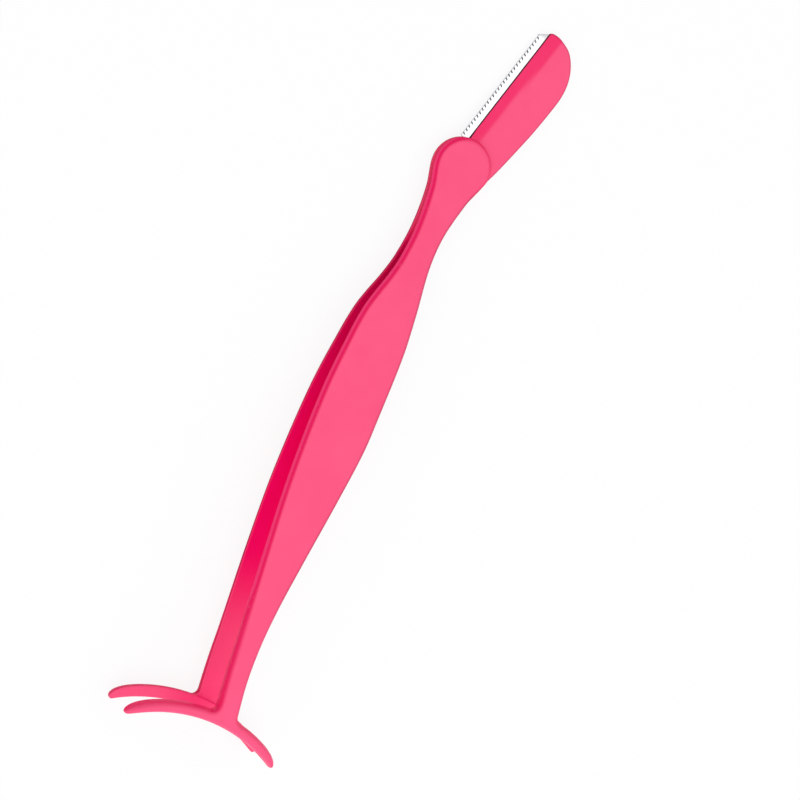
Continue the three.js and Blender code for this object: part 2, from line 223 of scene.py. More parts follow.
def share(name, description, part):
    return FloatProperty(name=name, description=description, default=part, min=0, max=1, subtype="FACTOR")


def colour(name, description, red, green, blue):
    """A colour property from display values between 0 and 255."""
    display = [value / 255 for value in (red, green, blue)]
    linear = [v / 12.92 if v <= 0.04045 else ((v + 0.055) / 1.055) ** 2.4 for v in display]
    return FloatVectorProperty(
        name=name, description=description, default=linear, size=3, min=0, max=1, subtype="COLOR"
    )


class ArmSizes(bpy.types.PropertyGroup):
    """Outline and side view of the two arms."""

    head_radius: length("Head radius", "Radius of the round head about the pivot", 5.7)
    head_y: length("Head offset", "Sideways place of the head's middle", 0.55)
    neck_x: length("Neck place", "Distance of the narrowest neck from the pivot", 13.1)
    neck_sides: sides("Neck sides", "Half widths of the neck, blade side first", 3.22, 2.7)
    grip_x: length("Grip place", "Distance of the widest grip from the pivot", 48)
    grip_sides: sides("Grip sides", "Half widths of the grip, blade side first", 7.68, 4.9)
    shank_x: length("Shank place", "Distance of the thin shank from the pivot", 95)
    shank_sides: sides("Shank sides", "Half widths of the shank, blade side first", 3.55, 1.25)
    root_sides: sides("Root sides", "Half widths at the clamp, blade side first", 1.7, 2.65)
    head_thickness: length("Head thickness", "Thickness of the arm at the pivot", 0.85)
    thickness: length("Thickness", "Thickness of the arm along the grip", 1.15)
    clamp_thickness: length("Clamp thickness", "Thickness of the arm at the clamp", 2.4)
    edge_radius: length("Edge radius", "Rounding of the outer edges", 1)
    under_radius: length("Inner edge width", "Width of the rounding of the inner face's edges", 0.4)
    head_gap: length("Head gap", "Gap between the two heads", 1.25)
    splay_x: length("Splay place", "Where the arms begin to part", 9.4)
    splay_length: length("Splay length", "Length that the splay is eased over outside", 14)
    inner_splay_length: length("Inner splay length", "Length that it is eased over inside", 4)
    bend_x: length("Bend place", "Middle of the bend behind the clamp", 72.5)
    bend_length: length("Bend length", "Length that the bend is eased over", 14)
    bend_gap: length("Bend gap", "Gap between the arms at the bend", 8.2)
    clamp_gap: length("Clamp gap", "Gap between the arms at the clamp", 9.4)
    clamp_x: length("Clamp place", "Distance of the clamp's hollow edge from the pivot", 111.4)
    clamp_y: length("Clamp offset", "Sideways place of the clamp's middle", -2.3)
    clamp_arc_radius: length("Clamp arc radius", "Radius of the clamp's hollow edge", 30.5)
    clamp_half_width: length("Clamp half width", "Half of the clamp's width", 15.3)
    horn_width: length("Horn width", "Width of a horn beside the shank", 2.3)
    horn_taper: length("Horn taper", "How much a horn narrows towards its tip", 0.25)
    horn_nose: length("Horn nose", "Rounding of a horn's tip on the hollow edge", 0.4)
    horn_crown: length("Horn crown", "How much the horns thicken outwards", 0.5)
    horn_tip_thickness: length("Horn tip thickness", "Thickness of a horn at its tip", 0.9)
    horn_rounding: share("Horn rounding", "Share of a horn's thickness that is rounded", 0.8)
    corner_radius: length("Corner radius", "Inside corner between shank and horn", 1.1)
    pad_step: length("Pad step", "Height of the pads above the inner faces", 0.3)
    pad_step_run: length("Pad step run", "Length that the step is eased over", 0.08)


class PivotSizes(bpy.types.PropertyGroup):
    """Pin between the heads and block between the necks."""

    pin_radius: length("Pin radius", "Radius of the pivot pin", 1.2)
    pin_depth: length("Pin depth", "How far the pin goes into each head", 0.4)
    pin_clearance: length("Pin clearance", "Room round the pin in the heads", 0.1)
    pin_rounding: length("Pin rounding", "Rounding of the pin's ends", 0.15)
    block_start_x: length("Block start", "Start of the neck block from the pivot", 2.4)
    block_end_x: length("Block end", "End of the neck block from the pivot", 13)
    block_width: length("Block width", "Width of the neck block", 0.8)
    block_least: length("Least block width", "Width that the block keeps beside the holder", 0.2)
    block_inset: length("Block inset", "Depth of the block below the arms' spine side", 0.15)
    block_rounding: length("Block rounding", "Rounding of the block's edges", 0.08)
    tang_clearance: length("Tang clearance", "Room between the block and the holder's tang", 0.2)
    block_clearance: length("Block clearance", "Room between the block and each arm", 0.05)


class RazorSizes(bpy.types.PropertyGroup):
    """Holder, blade strip and folded guard."""

    turn: angle("Turn", "Angle between the razor and the arms at rest", 14.5)
    holder_length: length("Holder length", "Length of the holder from the pivot", 30.7)
    holder_thickness: length("Holder thickness", "Thickness of the holder", 1)
    holder_spine: length("Holder spine", "Depth of the holder on its spine side", 7.8)
    holder_edge: length("Holder edge", "Depth of the holder on its blade side", 1.75)
    holder_rounding: length("Holder rounding", "Rounding of the holder's edges", 0.25)
    lip_rounding: length("Lip rounding", "Rounding of the two lips of the blade slot", 0.1)
    bevel_depth: length("Bevel depth", "How far the facet beside the blade falls", 0.2)
    bevel_start: length("Bevel start", "Where the facet begins, from the pivot", 5.9)
    bevel_spread: length("Bevel spread", "How far the facet widens towards the tip", 1.05)
    bevel_softness: length("Bevel softness", "Width of the facet's soft ridge", 0.4)
    bevel_run_in: length("Bevel run-in", "Length that the facet begins over", 1.4)
    tang_radius: length("Tang radius", "Round end of the holder between the heads", 4.6)
    blade_thickness: length("Blade thickness", "Thickness of the blade strip", 0.15)
    blade_depth: length("Blade depth", "Depth of the blade strip", 4.4)
    blade_setback: length("Blade setback", "From the holder's tip to the guard's end", 0.85)
    blade_cover: length("Blade cover", "Depth of the cutting edge inside the guard's fold", 0.12)
    guard_start: length("Guard start", "Start of the guard from the pivot", 4.75)
    guard_edge: length("Guard edge", "Depth of the guard's folded edge", 3.5)
    guard_tuck: length("Guard tuck", "Depth of the guard inside the holder", 0.6)
    guard_foil: length("Guard foil", "Thickness of the guard's foil", 0.08)
    guard_lead: length("Guard lead", "Plain length before the first slot", 0.5)
    guard_trail: length("Guard trail", "Plain length after the last slot", 2)
    guard_trim: length("Guard trim", "Cut across the outer corner of the guard's tip", 1.3)
    guard_slots: IntProperty(name="Guard slots", description="Slots in the guard", default=29, min=2)
    slot_width: length("Slot width", "Width of a guard slot", 0.32)
    slot_depth: length("Slot depth", "Depth of a guard slot from the folded edge", 0.58)
    slot_slant: angle("Slot slant", "Lean of the guard slots", 22)
    seat: length("Seat", "Room round the strip and the guard", 0.03)
    mouth_room: length("Mouth room", "Room in the slot past each end of the guard", 0.15)


class Finishes(bpy.types.PropertyGroup):
    """Colours and gloss of the materials."""

    pink: colour("Pink", "Satin moulded plastic on the open faces", 254, 82, 130)
    # Painted shade on the rounded edges; the clouding also borrows this colour as a faint deeper tint
    rim_shade_and_tint_pink: colour("Rim pink", "Deeper pink on the rounded edges", 235, 22, 92)
    # Painted shade line along the outermost edges
    edge_shade_pink: colour("Edge pink", "Dark pink line along the outermost edges", 180, 16, 70)
    # Painted highlight at the foot of the blade-side edges
    foot_highlight_pink: colour("Foot pink", "Paler line at the foot of the edges on the blade side", 244, 62, 116)
    # Painted shade of the faces between the arms
    between_shade_pink: colour("Inner pink", "Deep pink of the faces between the arms", 250, 0, 109)
    # Deeper painted shade where the gap between the arms is narrow
    narrow_gap_shade_pink: colour("Deep pink", "Darker pink where the gap between the arms is narrow", 214, 0, 82)
    # Painted shade of the facet beside the blade
    facet_shade_pink: colour("Facet pink", "Deeper pink of the facet beside the blade", 248, 34, 104)
    scuff_pink: colour("Scuff pink", "Pale scuffs along handled edges", 255, 150, 180)
    # Painted shadow in the slot's mouth beside the blade and on the guard's foot
    seam: colour("Seam", "Dark line of the slot beside the blade", 72, 8, 28)
    steel: colour("Steel", "Ground and stamped steel", 236, 238, 240)
    # Darker ground steel, which also stands in for shade seen through the guard's slots
    edge_steel_and_shade: colour("Edge steel", "Darker steel of the ground cutting edge", 110, 112, 116)
    shine: share("Shine", "Strength of the plastic's reflections", 0.3)
    satin: share("Satin", "Roughness of the moulded plastic", 0.46)
    polish: share("Polish", "Roughness of the steel", 0.32)


class StageSizes(bpy.types.PropertyGroup):
    """Camera, lamps and floor."""

    lean: angle("Lean", "Camera's lean from straight above, towards the blade side", 24)
    swing: angle("Swing", "Turn of the tool in the picture", 24.345)
    aim_x: length("Aim along", "Point along the tool at the middle of the picture", 43.63)
    aim_y: length("Aim across", "Point across the tool at the middle of the picture", 8.72)
    distance: length("Distance", "Camera's distance from that point", 508)
    lens: FloatProperty(name="Lens", description="Focal length", default=123.2, unit="CAMERA")
    key_power: FloatProperty(name="Key", description="Large softbox", default=1.6, unit="POWER")
    fill_power: FloatProperty(name="Fill", description="Softbox by the clamp", default=0.35, unit="POWER")
    sky: share("Sky", "Strength of the even light from all round", 0.79)
    floor: share("Floor", "Share of the floor that shows its own white", 0.88)


def drawn(group):
    """The group's values as plain numbers, with lengths in millimetres."""
    values = {}
    for key in group.__annotations__:
        value = getattr(group, key)
        if group.bl_rna.properties[key].unit == "LENGTH":
            value = value * 1000 if isinstance(value, float) else [part * 1000 for part in value]
        values[key] = value
    return SimpleNamespace(**values)


def tool_place():
    """From millimetres about the razor's pivot to the packed frame in metres."""
    fold = next(joint for joint in frame["joints"] if joint["name"] == "razor_fold")
    up = Vector(fold["axis"]).normalized()
    across = Vector((0, 1, 0))
    turn = Matrix((across.cross(up), across, up)).transposed().to_4x4()
    return Matrix.Translation(fold["pos_m"]) @ turn @ Matrix.Scale(0.001, 4)


TOOL = tool_place()
MIRROR = Matrix.Diagonal((1, 1, -1, 1))


def razor_place(razor):
    """From the razor's own axes, x along it and y to its blade, to the packed frame."""
    return TOOL @ Matrix.Rotation(math.pi - razor.turn, 4, "Z")


def mix(a, b, part):
    return a + (b - a) * part


def eased(part):
    part = min(max(part, 0), 1)
    return part * part * (3 - 2 * part)


def rise(x, start, stop):
    """0 up to the start, 1 from the stop on, eased between them."""
    return eased((x - start) / (stop - start))


def through(knots, x):
    """Smooth curve through knots (x, y), level at the first."""
    i = 0
    while i < len(knots) - 2 and x > knots[i + 1][0]:
        i += 1

    def slope(k):
        if k == 0:
            return 0
        before, after = knots[k - 1], knots[min(k + 1, len(knots) - 1)]
        return (after[1] - before[1]) / (after[0] - before[0])

    (x0, y0), (x1, y1) = knots[i], knots[i + 1]
    run = x1 - x0
    t = (x - x0) / run
    lean = (1 - t) * slope(i) - t * slope(i + 1)
    return mix(y0, y1, eased(t)) + run * t * (1 - t) * lean


def side_knots(stops, widths, swings):
    knots = [(stops[0], widths[0])]
    for i, pair in enumerate(swings):
        for along, part in pair:
            knots.append((mix(stops[i], stops[i + 1], along), mix(widths[i], widths[i + 1], part)))
        knots.append((stops[i + 1], widths[i + 1]))
    return knots


def bent(x, at, span):
    """Height of a bent line above its straight start, with the bend eased over a span."""
    into = x - at + span / 2
    if into <= 0:
        return 0
    return into**2 / (2 * span) if into < span else x - at


class ArmShape:
    """Plan outline and side view of one arm."""

    def __init__(self, sizes):
        a = self.sizes = sizes
        self.root_x = a.clamp_x - a.horn_width
        self.centre_x = a.clamp_x + a.clamp_arc_radius
        self.horn_turn = math.asin(a.clamp_half_width / a.clamp_arc_radius)
        stops = (0, a.neck_x, a.grip_x, a.shank_x, self.root_x)
        blade, spine = zip(a.neck_sides, a.grip_sides, a.shank_sides, a.root_sides)
        self.blade_knots = side_knots(stops, (a.head_radius - a.head_y, *blade), BLADE_SWINGS)
        self.spine_knots = side_knots(stops, (a.head_radius + a.head_y, *spine), SPINE_SWINGS)
        self.blade_corner = self.back_x(-blade[-1] - a.corner_radius)
        self.spine_corner = self.back_x(spine[-1] + a.corner_radius)
        self.splay = (a.bend_gap - a.head_gap) / 2 / (a.bend_x - a.splay_x)
        run = a.clamp_x - a.bend_x
        self.straightened = self.splay - (a.clamp_gap - a.bend_gap) / 2 / run
        self.thickening = (a.clamp_thickness - a.thickness) / run
        self.closing = (a.clamp_gap / 2 - a.pad_step) / (a.clamp_x - a.splay_x)

    def back_x(self, y):
        """Place of the clamp's back edge at a given side offset."""
        a = self.sizes
        reach = (a.clamp_arc_radius + a.horn_width) ** 2 - (y - a.clamp_y) ** 2
        return self.centre_x - math.sqrt(reach)

    def side(self, knots, corner, x):
        """Half width of the arm, with the rounded inside corner at the clamp."""
        radius = self.sizes.corner_radius
        into = min(max(x - corner + radius, 0), radius)
        return through(knots, min(x, self.root_x)) + radius - math.sqrt(radius**2 - into**2)

    def blade_side(self, x):
        return self.side(self.blade_knots, self.blade_corner, x)

    def spine_side(self, x):
        return self.side(self.spine_knots, self.spine_corner, x)

    def inner(self, x):
        a = self.sizes
        parted = self.splay * bent(x, a.splay_x, a.inner_splay_length)
        return a.head_gap / 2 + parted - self.straightened * bent(x, a.bend_x, a.bend_length)

    def outer(self, x):
        a = self.sizes
        slope = (a.thickness - a.head_thickness) / a.splay_x
        head = a.head_gap / 2 + a.thickness + slope * (x - a.splay_x)
        parted = head + (self.splay - slope) * bent(x, a.splay_x, a.splay_length)
        fall = self.straightened - self.thickening
        return parted - fall * bent(x, a.bend_x, a.bend_length)

    def pad(self, x):
        a = self.sizes
        return a.clamp_gap / 2 - a.pad_step + self.closing * (x - a.clamp_x)

    def polar(self, x, y):
        """(turn, radius) of a plan point about the centre of the clamp's arc."""
        dx, dy = self.centre_x - x, y - self.sizes.clamp_y
        return math.atan2(dy, dx), math.hypot(dx, dy)

    def plan(self, turn, radius):
        x = self.centre_x - radius * math.cos(turn)
        return x, self.sizes.clamp_y + radius * math.sin(turn)

    def horn_edges(self, turn):
        """Radii of the clamp's hollow edge and back edge, rounding off to the noses."""
        a = self.sizes
        nose = a.horn_nose / a.clamp_arc_radius
        short = max(0, 1 - max(0, self.horn_turn - abs(turn)) / nose)
        hollow = a.horn_nose * (1 - math.sqrt(1 - short**2))
        out = min(abs(turn) / self.horn_turn, 1)
        wide = mix(a.horn_nose, a.horn_width - a.horn_taper * out**2, math.sqrt(1 - out**8))
        return a.clamp_arc_radius + hollow, a.clamp_arc_radius + wide

    def over(self, x, y):
        """Outer face, with the horns' crown and their fall to thin tips."""
        a = self.sizes
        turn, radius = self.polar(x, y)
        out = min(abs(turn) / self.horn_turn, 1)
        near = eased(self.horn_edges(turn)[1] + 1 - radius)
        full = self.outer(x) + near * a.horn_crown * out**2
        return mix(self.pad(x) + a.horn_tip_thickness, full, math.sqrt(1 - near * out**8))

    def under(self, x, y):
        """Inner face, stepping up to the pad across the clamp."""
        radius = self.polar(x, y)[1]
        edge = self.sizes.clamp_arc_radius + self.sizes.horn_width
        step = (edge - radius) / self.sizes.pad_step_run
        return mix(self.inner(x), self.pad(x), eased(step + 0.5))

    def shaded(self, x, y):
        """Painted shade of the faces between the arms: deepest where the gap is narrow, pale on the pads."""
        shade = rise(x, *SHADE_COMES) * (1 - SHADE_LOSS * rise(x, *SHADE_GOES))
        deep = rise(x, *DEEP_COMES) * (1 - rise(x, *DEEP_GOES))
        if x > self.root_x - 1:
            turn, radius = self.polar(x, y)
            on_step = abs(radius - self.sizes.clamp_arc_radius - self.sizes.horn_width) < STEP_LINE
            out = eased(2 * abs(turn) / self.horn_turn)
            shade = STEP_SHADE if on_step else mix(*PAD_SHADES, out)
        return {"inner": shade, "deep": deep}

    def edged(self, x, y, near, way):
        """Painted shade of the outer rims: narrow on the horns, weak on the spine side and in the hollow,
        where the lamps light them.
        """
        head = 1 - rise(x, *HEAD_GOES)
        horn = rise(x, self.root_x - HORN_RUN_IN, self.root_x)
        hollow = rise(way[0], 0.35, 0.75) if x > self.root_x else 0
        spine = rise(way[1], 0, 0.5) * (1 - horn)
        round_head = HEAD_SOFTNESS * head * (1 - eased(-way[1]))
        rim = near ** mix(1, HORN_SHARPNESS, horn)
        rim *= (1 - HOLLOW_LOSS * hollow) * (1 - SPINE_LOSS * max(round_head, spine))
        rim *= 1 - FOOT_LOSS * rise(x, *FOOT_GOES)
        return {"rim": rim, "line": spine * (1 - head)}

    def room(self, x, y):
        """Half of the width across the clamp's horns, and plenty elsewhere."""
        turn, radius = self.polar(x, y)
        hollow, back = self.horn_edges(turn)
        return (back - hollow) / 2 if radius < back + 0.05 else AMPLE_ROOM

    def outline(self):
        """Plan outline, anticlockwise from the head."""
        a = self.sizes
        quarter = np.linspace(0, math.pi / 2, HEAD_STEPS, endpoint=False)
        nose = a.horn_nose / a.clamp_arc_radius
        bends = np.linspace(0, math.pi / 2, NOSE_STEPS + 1)
        noses = list(self.horn_turn - nose * (1 - np.cos(bends)))
        last = noses[-1]
        start = self.polar(self.blade_corner, -a.root_sides[0] - a.corner_radius)[0]
        stop = self.polar(self.spine_corner, a.root_sides[1] + a.corner_radius)[0]
        blade_nose = [-turn for turn in noses]
        blade_horn = [*np.linspace(start, -last, HORN_STEPS), *blade_nose[-2::-1]]
        hollow = [*blade_nose[1:], *np.linspace(-last, last, HOLLOW_STEPS)[1:-1], *noses[::-1]]
        spine_horn = [*noses[1:-1], *np.linspace(last, stop, HORN_STEPS)]
        points = arc(a.head_radius, math.pi + quarter, a.head_y)
        points += [(x, -self.blade_side(x)) for x in self.run_in(self.blade_corner)]
        for turns, edge in ((blade_horn, 1), (hollow, 0), (spine_horn, 1)):
            points += [self.plan(turn, self.horn_edges(turn)[edge]) for turn in turns]
        points += [(x, self.spine_side(x)) for x in self.run_in(self.spine_corner)[::-1]]
        return points + arc(a.head_radius, math.pi / 2 + quarter, a.head_y)

    def run_in(self, corner):
        """Places along a side from the pivot to the end of its inside corner."""
        radius = self.sizes.corner_radius
        bends = np.linspace(0, math.pi / 2, CORNER_STEPS, endpoint=False)
        straight = np.linspace(0, corner - radius, SIDE_STEPS)[1:-1]
        return [*straight, *(corner - radius * (1 - np.sin(bends)))]

    def step_spots(self):
        """Points on both sides of the step from the inner face to the pad."""
        spots = []
        edge = self.sizes.clamp_arc_radius + self.sizes.horn_width
        for turn in np.linspace(*STEP_TURNS, HORN_STEPS):
            spots += [self.plan(turn, edge + away) for away in STEP_OFFSETS]
        return spots


def arc(radius, turns, y=0):
    """Points at the given turns round a circle about (0, y)."""
    return [(radius * math.cos(turn), y + radius * math.sin(turn)) for turn in turns]


def circle(radius, count=48):
    return arc(radius, np.linspace(0, 2 * math.pi, count, endpoint=False))


def resampled(points, step=OUTLINE_STEP, passes=3):
    """The closed outline with even spacing and its kinks eased."""
    loop = np.array([*points, points[0]], float)
    along = np.concatenate(([0], np.cumsum(np.hypot(*np.diff(loop, axis=0).T))))
    at = np.linspace(0, along[-1], round(along[-1] / step), endpoint=False)
    even = np.column_stack([np.interp(at, along, loop[:, i]) for i in (0, 1)])
    return evened(even, passes)


def evened(values, passes):
    """A closed row of values, each pulled towards its neighbours."""
    for _ in range(passes):
        values = (np.roll(values, 1, 0) + 2 * values + np.roll(values, -1, 0)) / 4
    return values


def inward(loop):
    """Unit normals into an anticlockwise outline."""
    ahead = np.roll(loop, -1, 0) - np.roll(loop, 1, 0)
    ahead /= np.linalg.norm(ahead, axis=1)[:, None]
    return np.column_stack([-ahead[:, 1], ahead[:, 0]])


def bend_room(loop, reach=4):
    """Radius of the tightest outward bend near each point of an anticlockwise outline."""
    ahead = np.roll(loop, -1, 0) - loop
    behind = np.roll(ahead, 1, 0)
    run = np.hypot(*ahead.T)
    turn = (behind[:, 0] * ahead[:, 1] - behind[:, 1] * ahead[:, 0]) / (run * np.roll(run, 1))
    radius = run / np.maximum(turn, 0.001)
    return np.min([np.roll(radius, shift) for shift in range(-reach, reach + 1)], axis=0)


def inside(spots, loop):
    """Which spots lie inside the closed loop."""
    hits = np.zeros(len(spots), bool)
    x, y = spots[:, 0], spots[:, 1]
    for (x0, y0), (x1, y1) in zip(loop, np.roll(loop, -1, 0)):
        crosses = (y0 > y) != (y1 > y)
        if crosses.any():
            hits ^= crosses & (x < x0 + (x1 - x0) * (y - y0) / (y1 - y0))
    return hits


def face_spots(loop, step=FACE_STEP):
    """Evenly spread points inside a loop, clear of its rim."""
    low, high = loop.min(0), loop.max(0)
    axes = [np.arange(low[i] + step / 2, high[i], step) for i in (0, 1)]
    grid = np.array(np.meshgrid(*axes)).reshape(2, -1).T
    grid = grid[inside(grid, loop)]
    near = [np.hypot(*(loop - spot).T).min() for spot in grid]
    return grid[np.array(near) > step / 3]


class Skin:
    """Points, faces and marks of one closed piece while it is drawn."""

    def __init__(self, *marks):
        self.points = []
        self.faces = []
        self.marks = {name: [] for name in marks}

    def point(self, x, y, z, **marks):
        self.points.append((float(x), float(y), float(z)))
        for name, values in self.marks.items():
            values.append(float(marks.get(name, 0)))
        return len(self.points) - 1

    def band(self, low, high, closed=True, skip=()):
        """Quads between two rows of points, outward where the rows run anticlockwise."""
        count = len(low)
        for i in range(count if closed else count - 1):
            if i not in skip:
                k = (i + 1) % count
                self.faces.append((low[i], low[k], high[k], high[i]))

    def bands(self, rows, closed=True):
        for low, high in zip(rows, rows[1:]):
            self.band(low, high, closed)

    def plan(self, row):
        return np.array([self.points[i][:2] for i in row])

    def cap(self, ring, spots, height, mark, up, hole=()):
        """Triangles across a ring and the spots inside it; gives the rim of a hole where there is one."""
        plan = [Vector(spot) for spot in (*self.plan(ring), *spots, *hole)]
        first = len(plan) - len(hole)
        edges = [(i, (i + 1) % len(ring)) for i in range(len(ring))]
        edges += [(first + i, first + (i + 1) % len(hole)) for i in range(len(hole))]
        flat, _, faces, origins, _, _ = delaunay_2d_cdt(plan, edges, [], 1, 1e-7, True)
        index = []
        for spot, origin in zip(flat, origins):
            if origin and origin[0] < len(ring):
                index.append(ring[origin[0]])
            else:
                index.append(self.point(*spot, height(*spot), **mark(*spot)))
        middles = np.array([sum((flat[i] for i in face), Vector((0, 0))) / 3 for face in faces])
        kept = inside(middles, np.array(plan[: len(ring)]))
        if hole:
            kept &= ~inside(middles, np.array(hole))
        for face in (face for face, keep in zip(faces, kept) if keep):
            corners = [index[i] for i in face]
            self.faces.append(corners if up else corners[::-1])
        where = {origin[0]: index[i] for i, origin in enumerate(origins) if origin}
        return [where[first + i] for i in range(len(hole))]


def rounded_rim(skin, loop, height, radius, drop, steps, mark):
    """Rows of a rounded rim from the wall inwards, with one flat row just inside it.

    Each point's marks come from its place, its nearness to the wall and the way the wall faces.
    """
    normals = inward(loop)
    rows = []
    for k in range(steps + 2):
        turn = min(k / steps, 1) * math.pi / 2
        inset = radius * (1 - math.cos(turn))
        if k > steps:
            inset = radius + np.minimum(FLAT_ROW[0], FLAT_ROW[1] * radius)
        plan = loop + normals * inset[:, None]
        row = []
        for (x, y), deep, way in zip(plan, drop, -normals):
            z = height(x, y) - deep * (1 - math.sin(turn))
            row.append(skin.point(x, y, z, **mark(x, y, math.cos(turn), way)))
        rows.append(row)
    return rows


def drawn_mesh(name, points, faces, marks):
    mesh = bpy.data.meshes.new(name)
    mesh.from_pydata(points, [], faces)
    for key, values in marks.items():
        mesh.attributes.new(key, "FLOAT", "POINT").data.foreach_set("value", values)
    return mesh


def placed(name, data):
    made = bpy.data.objects.new(name, data)
    bpy.context.scene.collection.objects.link(made)
    return made


def piece(name, skin, place, material, node):
    """Makes the finished object, in its place in the packed frame."""
    points = [place @ Vector(point) for point in skin.points]
    mesh = drawn_mesh(name, points, skin.faces, skin.marks)
    if place.determinant() < 0:
        mesh.flip_normals()
    return finished(name, mesh, material, node)


def finished(name, mesh, material, node):
    """Shades the mesh, gives it its material and stands it in for the CAD node."""
    mesh.validate()
    mesh.shade_smooth()
    mesh.materials.clear()
    mesh.materials.append(material)
    made = placed(name, mesh)
    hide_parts(node)
    return made


def arm_skin(shape, pivot):
    """One arm: rounded outside, flat inside, with a blind socket for the pin."""
    a = shape.sizes
    skin = Skin("rim", "line", "inner", "deep")
    loop = resampled(shape.outline())
    thick = np.array([shape.over(x, y) - shape.under(x, y) for x, y in loop])
    room = np.array([shape.room(x, y) for x, y in loop])
    top = evened(np.minimum(a.edge_radius, ROOM_SHARE * room), passes=6)
    on_clamp = room < AMPLE_ROOM
    fall = np.where(on_clamp, a.horn_rounding * thick, np.minimum(top, FALL_SHARE * thick))
    fall = np.minimum(evened(fall, passes=6), FALL_LIMIT * thick)
    low = np.minimum(a.under_radius, UNDER_ROOM_SHARE * room)
    lift = UNDER_LIFT_SHARE * thick

    # Inner rims: painted gap shade, weaker towards the edge, with the outer rims' painted edge marks on the
    # outermost row
    def between(x, y, near, way):
        shade = shape.shaded(x, y)
        shade["inner"] *= 1 - UNDER_EDGE_LOSS * near
        outermost = float(near > 0.99)
        return shade | shape.edged(x, y, outermost, way)

    # Outer rims carry the painted edge shade worked out by edged
    outside = rounded_rim(skin, loop, shape.over, top, fall, RIM_STEPS, shape.edged)
    under = rounded_rim(skin, loop, shape.under, low, -lift, UNDER_STEPS, between)
    skin.bands(under[::-1] + outside)
    skin.cap(outside[-1], face_spots(skin.plan(outside[-1])), shape.over, lambda x, y: {}, True)
    back = skin.plan(under[-1])
    steps = np.array(shape.step_spots())
    plain = face_spots(back)
    clear = np.hypot(*plain.T) > pivot.pin_radius + SOCKET_MARGIN
    clear &= plain[:, 0] < shape.root_x - HORN_RUN_IN
    spots = [*plain[clear], *steps[inside(steps, back)]]
    socket = circle(pivot.pin_radius + pivot.pin_clearance)
    rim = skin.cap(under[-1], spots, shape.under, shape.shaded, False, socket)
    floor = a.head_gap / 2 + pivot.pin_depth + pivot.pin_clearance / 2
    # The socket's floor takes the full painted gap shade
    sunk = [skin.point(x, y, floor, inner=1) for x, y in socket]
    skin.band(sunk, rim)
    skin.faces.append(sunk[::-1])
    return skin


class TWEEZERS_OT_arms(bpy.types.Operator):
    """Moulds the two mirror-image arms, which bend along their necks"""

    bl_idname = "tweezers.arms"
    bl_label = "Arms"

    def execute(self, context):
        shape = ArmShape(drawn(context.scene.tweezers_arms))
        skin = arm_skin(shape, drawn(context.scene.tweezers_pivot))
        plastic = moulded_plastic("arm_pink", context.scene.tweezers_finishes)
        for node, place in (("front_arm", TOOL), ("rear_arm", TOOL @ MIRROR)):
            if node == "rear_arm":
                # The rear arm's painted dark edge line fades towards the clamp
                gone = [rise(point[0], *REAR_LINE_GOES) for point in skin.points]
                skin.marks["line"] = [1 - REAR_LINE_LOSS * part for part in gone]
            made = piece(node + "_moulding", skin, place, plastic, node)
            start, end = (place @ Vector((x, 0, 1)) for x in NECK_BEND)
            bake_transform(made, "neck", node, start=start, end=end)
        return {"FINISHED"}


class TWEEZERS_OT_neck_block(bpy.types.Operator):
    """Moulds the block that joins the arms at the neck and stops the razor"""

    bl_idname = "tweezers.neck_block"
    bl_label = "Neck block"

    def execute(self, context):
        shape = ArmShape(drawn(context.scene.tweezers_arms))
        pivot = drawn(context.scene.tweezers_pivot)
        clear = drawn(context.scene.tweezers_razor).tang_radius + pivot.tang_clearance
        run = np.linspace(pivot.block_start_x, pivot.block_end_x, BLOCK_STEPS)
        high = [shape.spine_side(x) - pivot.block_inset for x in run]
        low = []
        for x, y in zip(run, high):
            tang = math.sqrt(max(0, clear**2 - x**2))
            low.append(min(max(y - pivot.block_width, tang), y - pivot.block_least))
        loop = resampled([*zip(run, low), *zip(run[::-1], high[::-1])], passes=1)
        half = shape.sizes.head_gap / 2 - pivot.block_clearance
        skin = Skin("rim", "line", "inner", "deep")
        radius = np.full(len(loop), pivot.block_rounding)

        # Painted gap shade on the block, left off its wall that faces the spine side
        def mark(x, y, near=0, way=(0, -1)):
            return {"inner": 1 - BLOCK_LOSS * rise(way[1], -0.5, 0.5)}

        def upper(x, y):
            return half

        def lower(x, y):
            return -half

        top = rounded_rim(skin, loop, upper, radius, radius, UNDER_STEPS, mark)
        low = rounded_rim(skin, loop, lower, radius, -radius, UNDER_STEPS, mark)
        skin.bands(low[::-1] + top)
        skin.cap(top[-1], [], upper, mark, True)
        skin.cap(low[-1], [], lower, mark, False)
        plastic = bpy.data.materials["arm_pink"]
        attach(piece("neck_block_moulding", skin, TOOL, plastic, "neck_block"), "neck")
        return {"FINISHED"}


class TWEEZERS_OT_pivot_pin(bpy.types.Operator):
    """Turns the pin that sits blind in both heads"""

    bl_idname = "tweezers.pivot_pin"
    bl_label = "Pivot pin"

    def execute(self, context):
        arms = drawn(context.scene.tweezers_arms)
        pivot = drawn(context.scene.tweezers_pivot)
        end, rim = arms.head_gap / 2 + pivot.pin_depth, pivot.pin_rounding
        profile = []
        for turn in np.linspace(0, math.pi / 2, 5):
            radius = pivot.pin_radius - rim * (1 - math.sin(turn))
            profile.append((radius, rim * (1 - math.cos(turn)) - end))
        profile += [(pivot.pin_radius, 0)]
        profile += [(radius, -z) for radius, z in profile[-2::-1]]
        skin = Skin("ground")
        rows = [[skin.point(x, y, z) for x, y in circle(radius, PIN_STEPS)] for radius, z in profile]
        skin.bands(rows)
        skin.faces += [rows[0][::-1], rows[-1]]
        steel = bright_steel("turned_steel", context.scene.tweezers_finishes)
        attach(piece("pivot_pin_turned", skin, TOOL, steel, "pivot_pin"), "neck")
        return {"FINISHED"}


